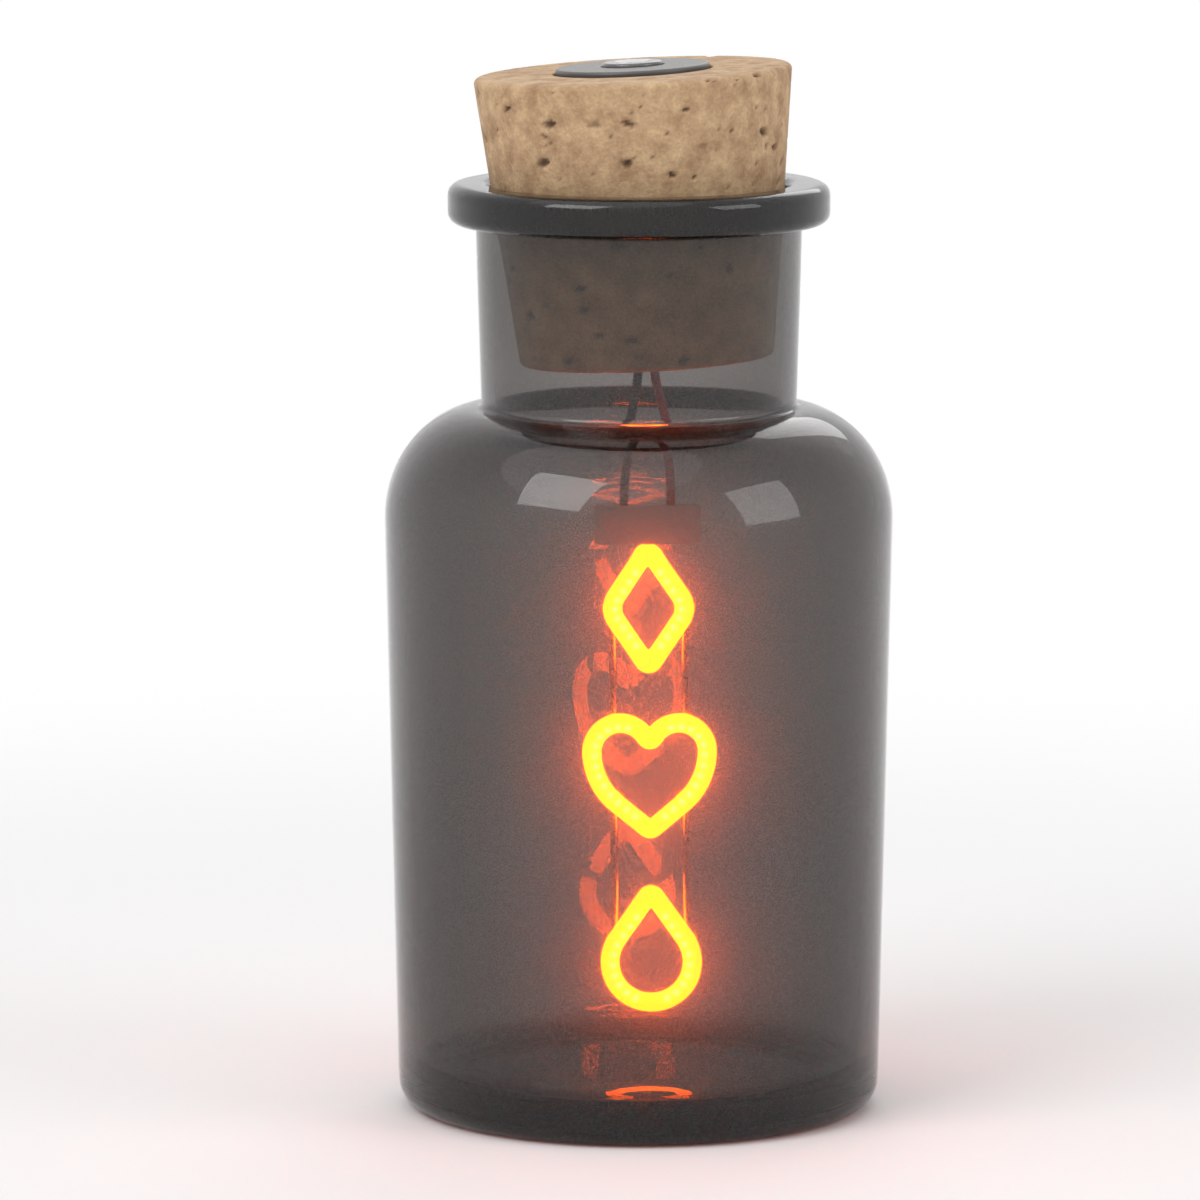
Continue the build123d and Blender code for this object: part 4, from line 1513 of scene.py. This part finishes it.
@dataclass
class Leads:
    """The two insulated leads that carry the column from the gland."""

    finishes: FinishLibrary
    frame: ColumnFrame
    radius: float = 0.6 * MM
    spacing: float = 1.6 * MM
    entry: float = 3.6 * MM
    straight_share: float = 0.25
    holder_spacing: float = 6.4 * MM
    holder_depth: float = 2.0 * MM
    holder_clearance: float = 0.15 * MM
    round_steps: int = 6
    curve_order: int = 3
    curve_steps: int = 16
    plans: tuple[LeadPlan, ...] = (
        LeadPlan("red_lead", Slot.RED_LEAD, "lead_wire_red", 1.0, 0.85, 0.20),
        LeadPlan("black_lead", Slot.BLACK_LEAD, "lead_wire_black", -1.0, 0.70, -0.25),
    )

    def route(self, plan: LeadPlan) -> list[Vector]:
        """Plan one lead's route.

        Args:
            plan: The lead.

        Returns:
            The route's knots, from inside the gland to inside the holder.
        """
        top = self.entry - self.frame.pivot_level
        foot = -self.frame.holder_drop - self.holder_depth + self.holder_clearance
        straight = self.frame.holder_drop * self.straight_share
        reach = self.holder_spacing / 2
        start = plan.side * self.spacing / 2
        return [
            self.frame.place(start, top),
            self.frame.place(start, top - straight),
            self.frame.place(plan.side * reach * plan.bow_share, (top + foot) / 2, plan.depth_share * reach),
            self.frame.place(plan.side * reach, foot + straight),
            self.frame.place(plan.side * reach, foot),
        ]

    def lead(self, plan: LeadPlan) -> None:
        """Draw one lead as a smooth curve with a round section, and set it in the frame.

        Args:
            plan: The lead.
        """
        points = self.route(plan)
        curve = bpy.data.curves.new(plan.name, "CURVE")
        curve.dimensions = "3D"
        curve.bevel_depth = self.radius
        curve.bevel_resolution = self.round_steps
        curve.use_fill_caps = True
        spline = curve.splines.new("NURBS")
        spline.points.add(len(points) - 1)
        for knot, point in zip(spline.points, points):
            knot.co = (*point, 1.0)
        spline.order_u = self.curve_order
        spline.use_endpoint_u = True
        spline.resolution_u = self.curve_steps
        piece = add_object(plan.name, curve)
        curve.materials.append(self.finishes.made[plan.slot])
        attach(piece, Body.COLUMN.value)
        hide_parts(plan.node)

    def build(self) -> None:
        """Build both leads."""
        for plan in self.plans:
            self.lead(plan)
        LOG.info("leads: %d curves", len(self.plans))


# Studio


@dataclass(frozen=True)
class Softbox:
    """One square lamp: where it hangs, how wide it is and how strong."""

    name: str
    place: tuple[float, float, float]
    size: float
    power: float


@dataclass
class Studio:
    """The pale floor, the soft lamps and the white surroundings."""

    floor_half: float = 3.0
    floor_colour: Colour = (0.88, 0.88, 0.88)
    floor_roughness: float = 0.85
    floor_shine: float = 0.2
    near_reach: float = 0.16
    far_reach: float = 0.42
    world_strength: float = 0.52
    sky_strength: float = 0.55
    sky_angle: float = math.radians(70.0)
    sky_place: tuple[float, float, float] = (-0.25, -0.3, 1.0)
    lamps: tuple[Softbox, ...] = (
        Softbox("key_softbox", (-0.55, -0.55, 0.75), 0.55, 3.6),
        Softbox("fill_softbox", (0.70, -0.35, 0.45), 0.45, 1.5),
        Softbox("back_softbox", (0.15, 0.80, 0.65), 0.60, 1.8),
    )
    aim: tuple[float, float, float] = (0.0, 0.0, 0.07)

    @staticmethod
    def seen(tree: Tree) -> Socket:
        """Tell rays that the camera sees, also by way of a mirror or glass, from all others.

        Args:
            tree: The tree.

        Returns:
            The socket that is 1 for those rays.
        """
        rays = add_node(tree, "ShaderNodeLightPath").outputs
        either = reckon(tree, "MAXIMUM", rays["Is Camera Ray"], rays["Is Glossy Ray"])
        return reckon(tree, "MAXIMUM", either, rays["Is Transmission Ray"])

    def floor_material(self) -> bpy.types.Material:
        """Make a pale floor that turns to plain white away from the object.

        Returns:
            The floor's material.
        """
        material, tree, surface = new_material("studio floor")
        feed(tree, surface, {
            "Base Color": opaque(self.floor_colour), "Roughness": self.floor_roughness,
            "Specular IOR Level": self.floor_shine})
        place = add_node(tree, "ShaderNodeTexCoord").outputs["Object"]
        reach = add_node(tree, "ShaderNodeVectorMath", {0: place}, operation="LENGTH").outputs["Value"]
        wiring = {"Value": reach, "From Min": self.near_reach, "From Max": self.far_reach}
        fade = add_node(tree, "ShaderNodeMapRange", wiring, interpolation_type="SMOOTHERSTEP")
        share = reckon(tree, "MULTIPLY", fade.outputs["Result"], self.seen(tree))
        white = add_node(tree, "ShaderNodeEmission").outputs["Emission"]
        mix = add_node(tree, "ShaderNodeMixShader", {0: share, 1: surface.outputs["BSDF"], 2: white})
        feed(tree, output_of(tree), {"Surface": mix.outputs["Shader"]})
        return material

    def floor(self) -> None:
        """Lay the floor."""
        mesh = bpy.data.meshes.new("studio_floor")
        reach = self.floor_half
        corners = [(-reach, -reach, 0.0), (reach, -reach, 0.0), (reach, reach, 0.0), (-reach, reach, 0.0)]
        mesh.from_pydata(corners, [], [(0, 1, 2, 3)])
        mesh.materials.append(self.floor_material())
        floor = add_object("studio_floor", mesh)

    def hang(self, lamp: bpy.types.Light, place: Sequence[float]) -> None:
        """Hang one lamp, turned towards the object.

        Args:
            lamp: The lamp.
            place: Where it hangs.
        """
        rig = add_object(lamp.name, lamp)
        rig.location = place
        aim = Vector(self.aim) - Vector(place)
        rig.rotation_euler = aim.to_track_quat("-Z", "Y").to_euler()

    def lights(self) -> None:
        """Hang the softboxes round the object and one wide sky lamp above it."""
        for plan in self.lamps:
            lamp = bpy.data.lights.new(plan.name, "AREA")
            lamp.size = plan.size
            lamp.energy = plan.power
            self.hang(lamp, plan.place)
        sky = bpy.data.lights.new("sky_lamp", "SUN")
        sky.energy = self.sky_strength
        sky.angle = self.sky_angle
        self.hang(sky, self.sky_place)

    def world(self) -> None:
        """Set plain white surroundings: full white where they are seen, softer as a light."""
        world = bpy.data.worlds.new("studio_world")
        world.use_nodes = True
        tree = world.node_tree
        tree.nodes.clear()
        colour = opaque(WHITE)
        soft = add_node(tree, "ShaderNodeBackground", {"Color": colour, "Strength": self.world_strength})
        plain = add_node(tree, "ShaderNodeBackground", {"Color": colour, "Strength": 1.0})
        mix = add_node(tree, "ShaderNodeMixShader", {
            0: self.seen(tree), 1: soft.outputs[0], 2: plain.outputs[0]})
        add_node(tree, "ShaderNodeOutputWorld", {"Surface": mix.outputs[0]})
        bpy.context.scene.world = world

    def build(self) -> None:
        """Build the whole studio."""
        self.floor()
        self.lights()
        self.world()
        bpy.context.scene.view_settings.view_transform = "Standard"
        LOG.info("studio: floor, %d lamps, world", len(self.lamps) + 1)


@dataclass
class PhotoCamera:
    """The camera at the photograph's angle, slightly above the bottle."""

    distance: float = 1.16
    elevation_deg: float = 8.2
    seen_width: float = 161.2 * MM
    aim: tuple[float, float, float] = (-5.2 * MM, 0.0, 68.7 * MM)
    sensor: float = 36.0

    def build(self) -> None:
        """Place the camera and make it the scene's own."""
        lens = bpy.data.cameras.new("photo_camera")
        lens.sensor_width = self.sensor
        lens.lens = self.sensor * self.distance / self.seen_width
        rig = add_object("photo_camera", lens)
        tilt = math.radians(self.elevation_deg)
        back = Vector((0.0, -math.cos(tilt), math.sin(tilt)))
        rig.location = Vector(self.aim) + back * self.distance
        rig.rotation_euler = (-back).to_track_quat("-Z", "Y").to_euler()
        bpy.context.scene.camera = rig
        LOG.info("camera: %.0f mm lens", lens.lens)


def main() -> None:
    """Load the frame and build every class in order."""
    logging.basicConfig(level=logging.INFO, format="%(name)s: %(message)s")
    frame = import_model()
    PhotoCamera().build()
    Studio().build()
    finishes = FinishLibrary()
    finishes.build()
    finishes.dress_frame(frame)
    axis = TiltedAxis()
    column = ColumnFrame(axis)
    GlassBottle(finishes).build()
    CorkStopper(finishes, axis).build()
    CorkFittings(finishes, axis).build()
    LitFigures(finishes, column).build(frame["nodes"])
    Leads(finishes, column).build()


if __name__ == "__main__":
    main()
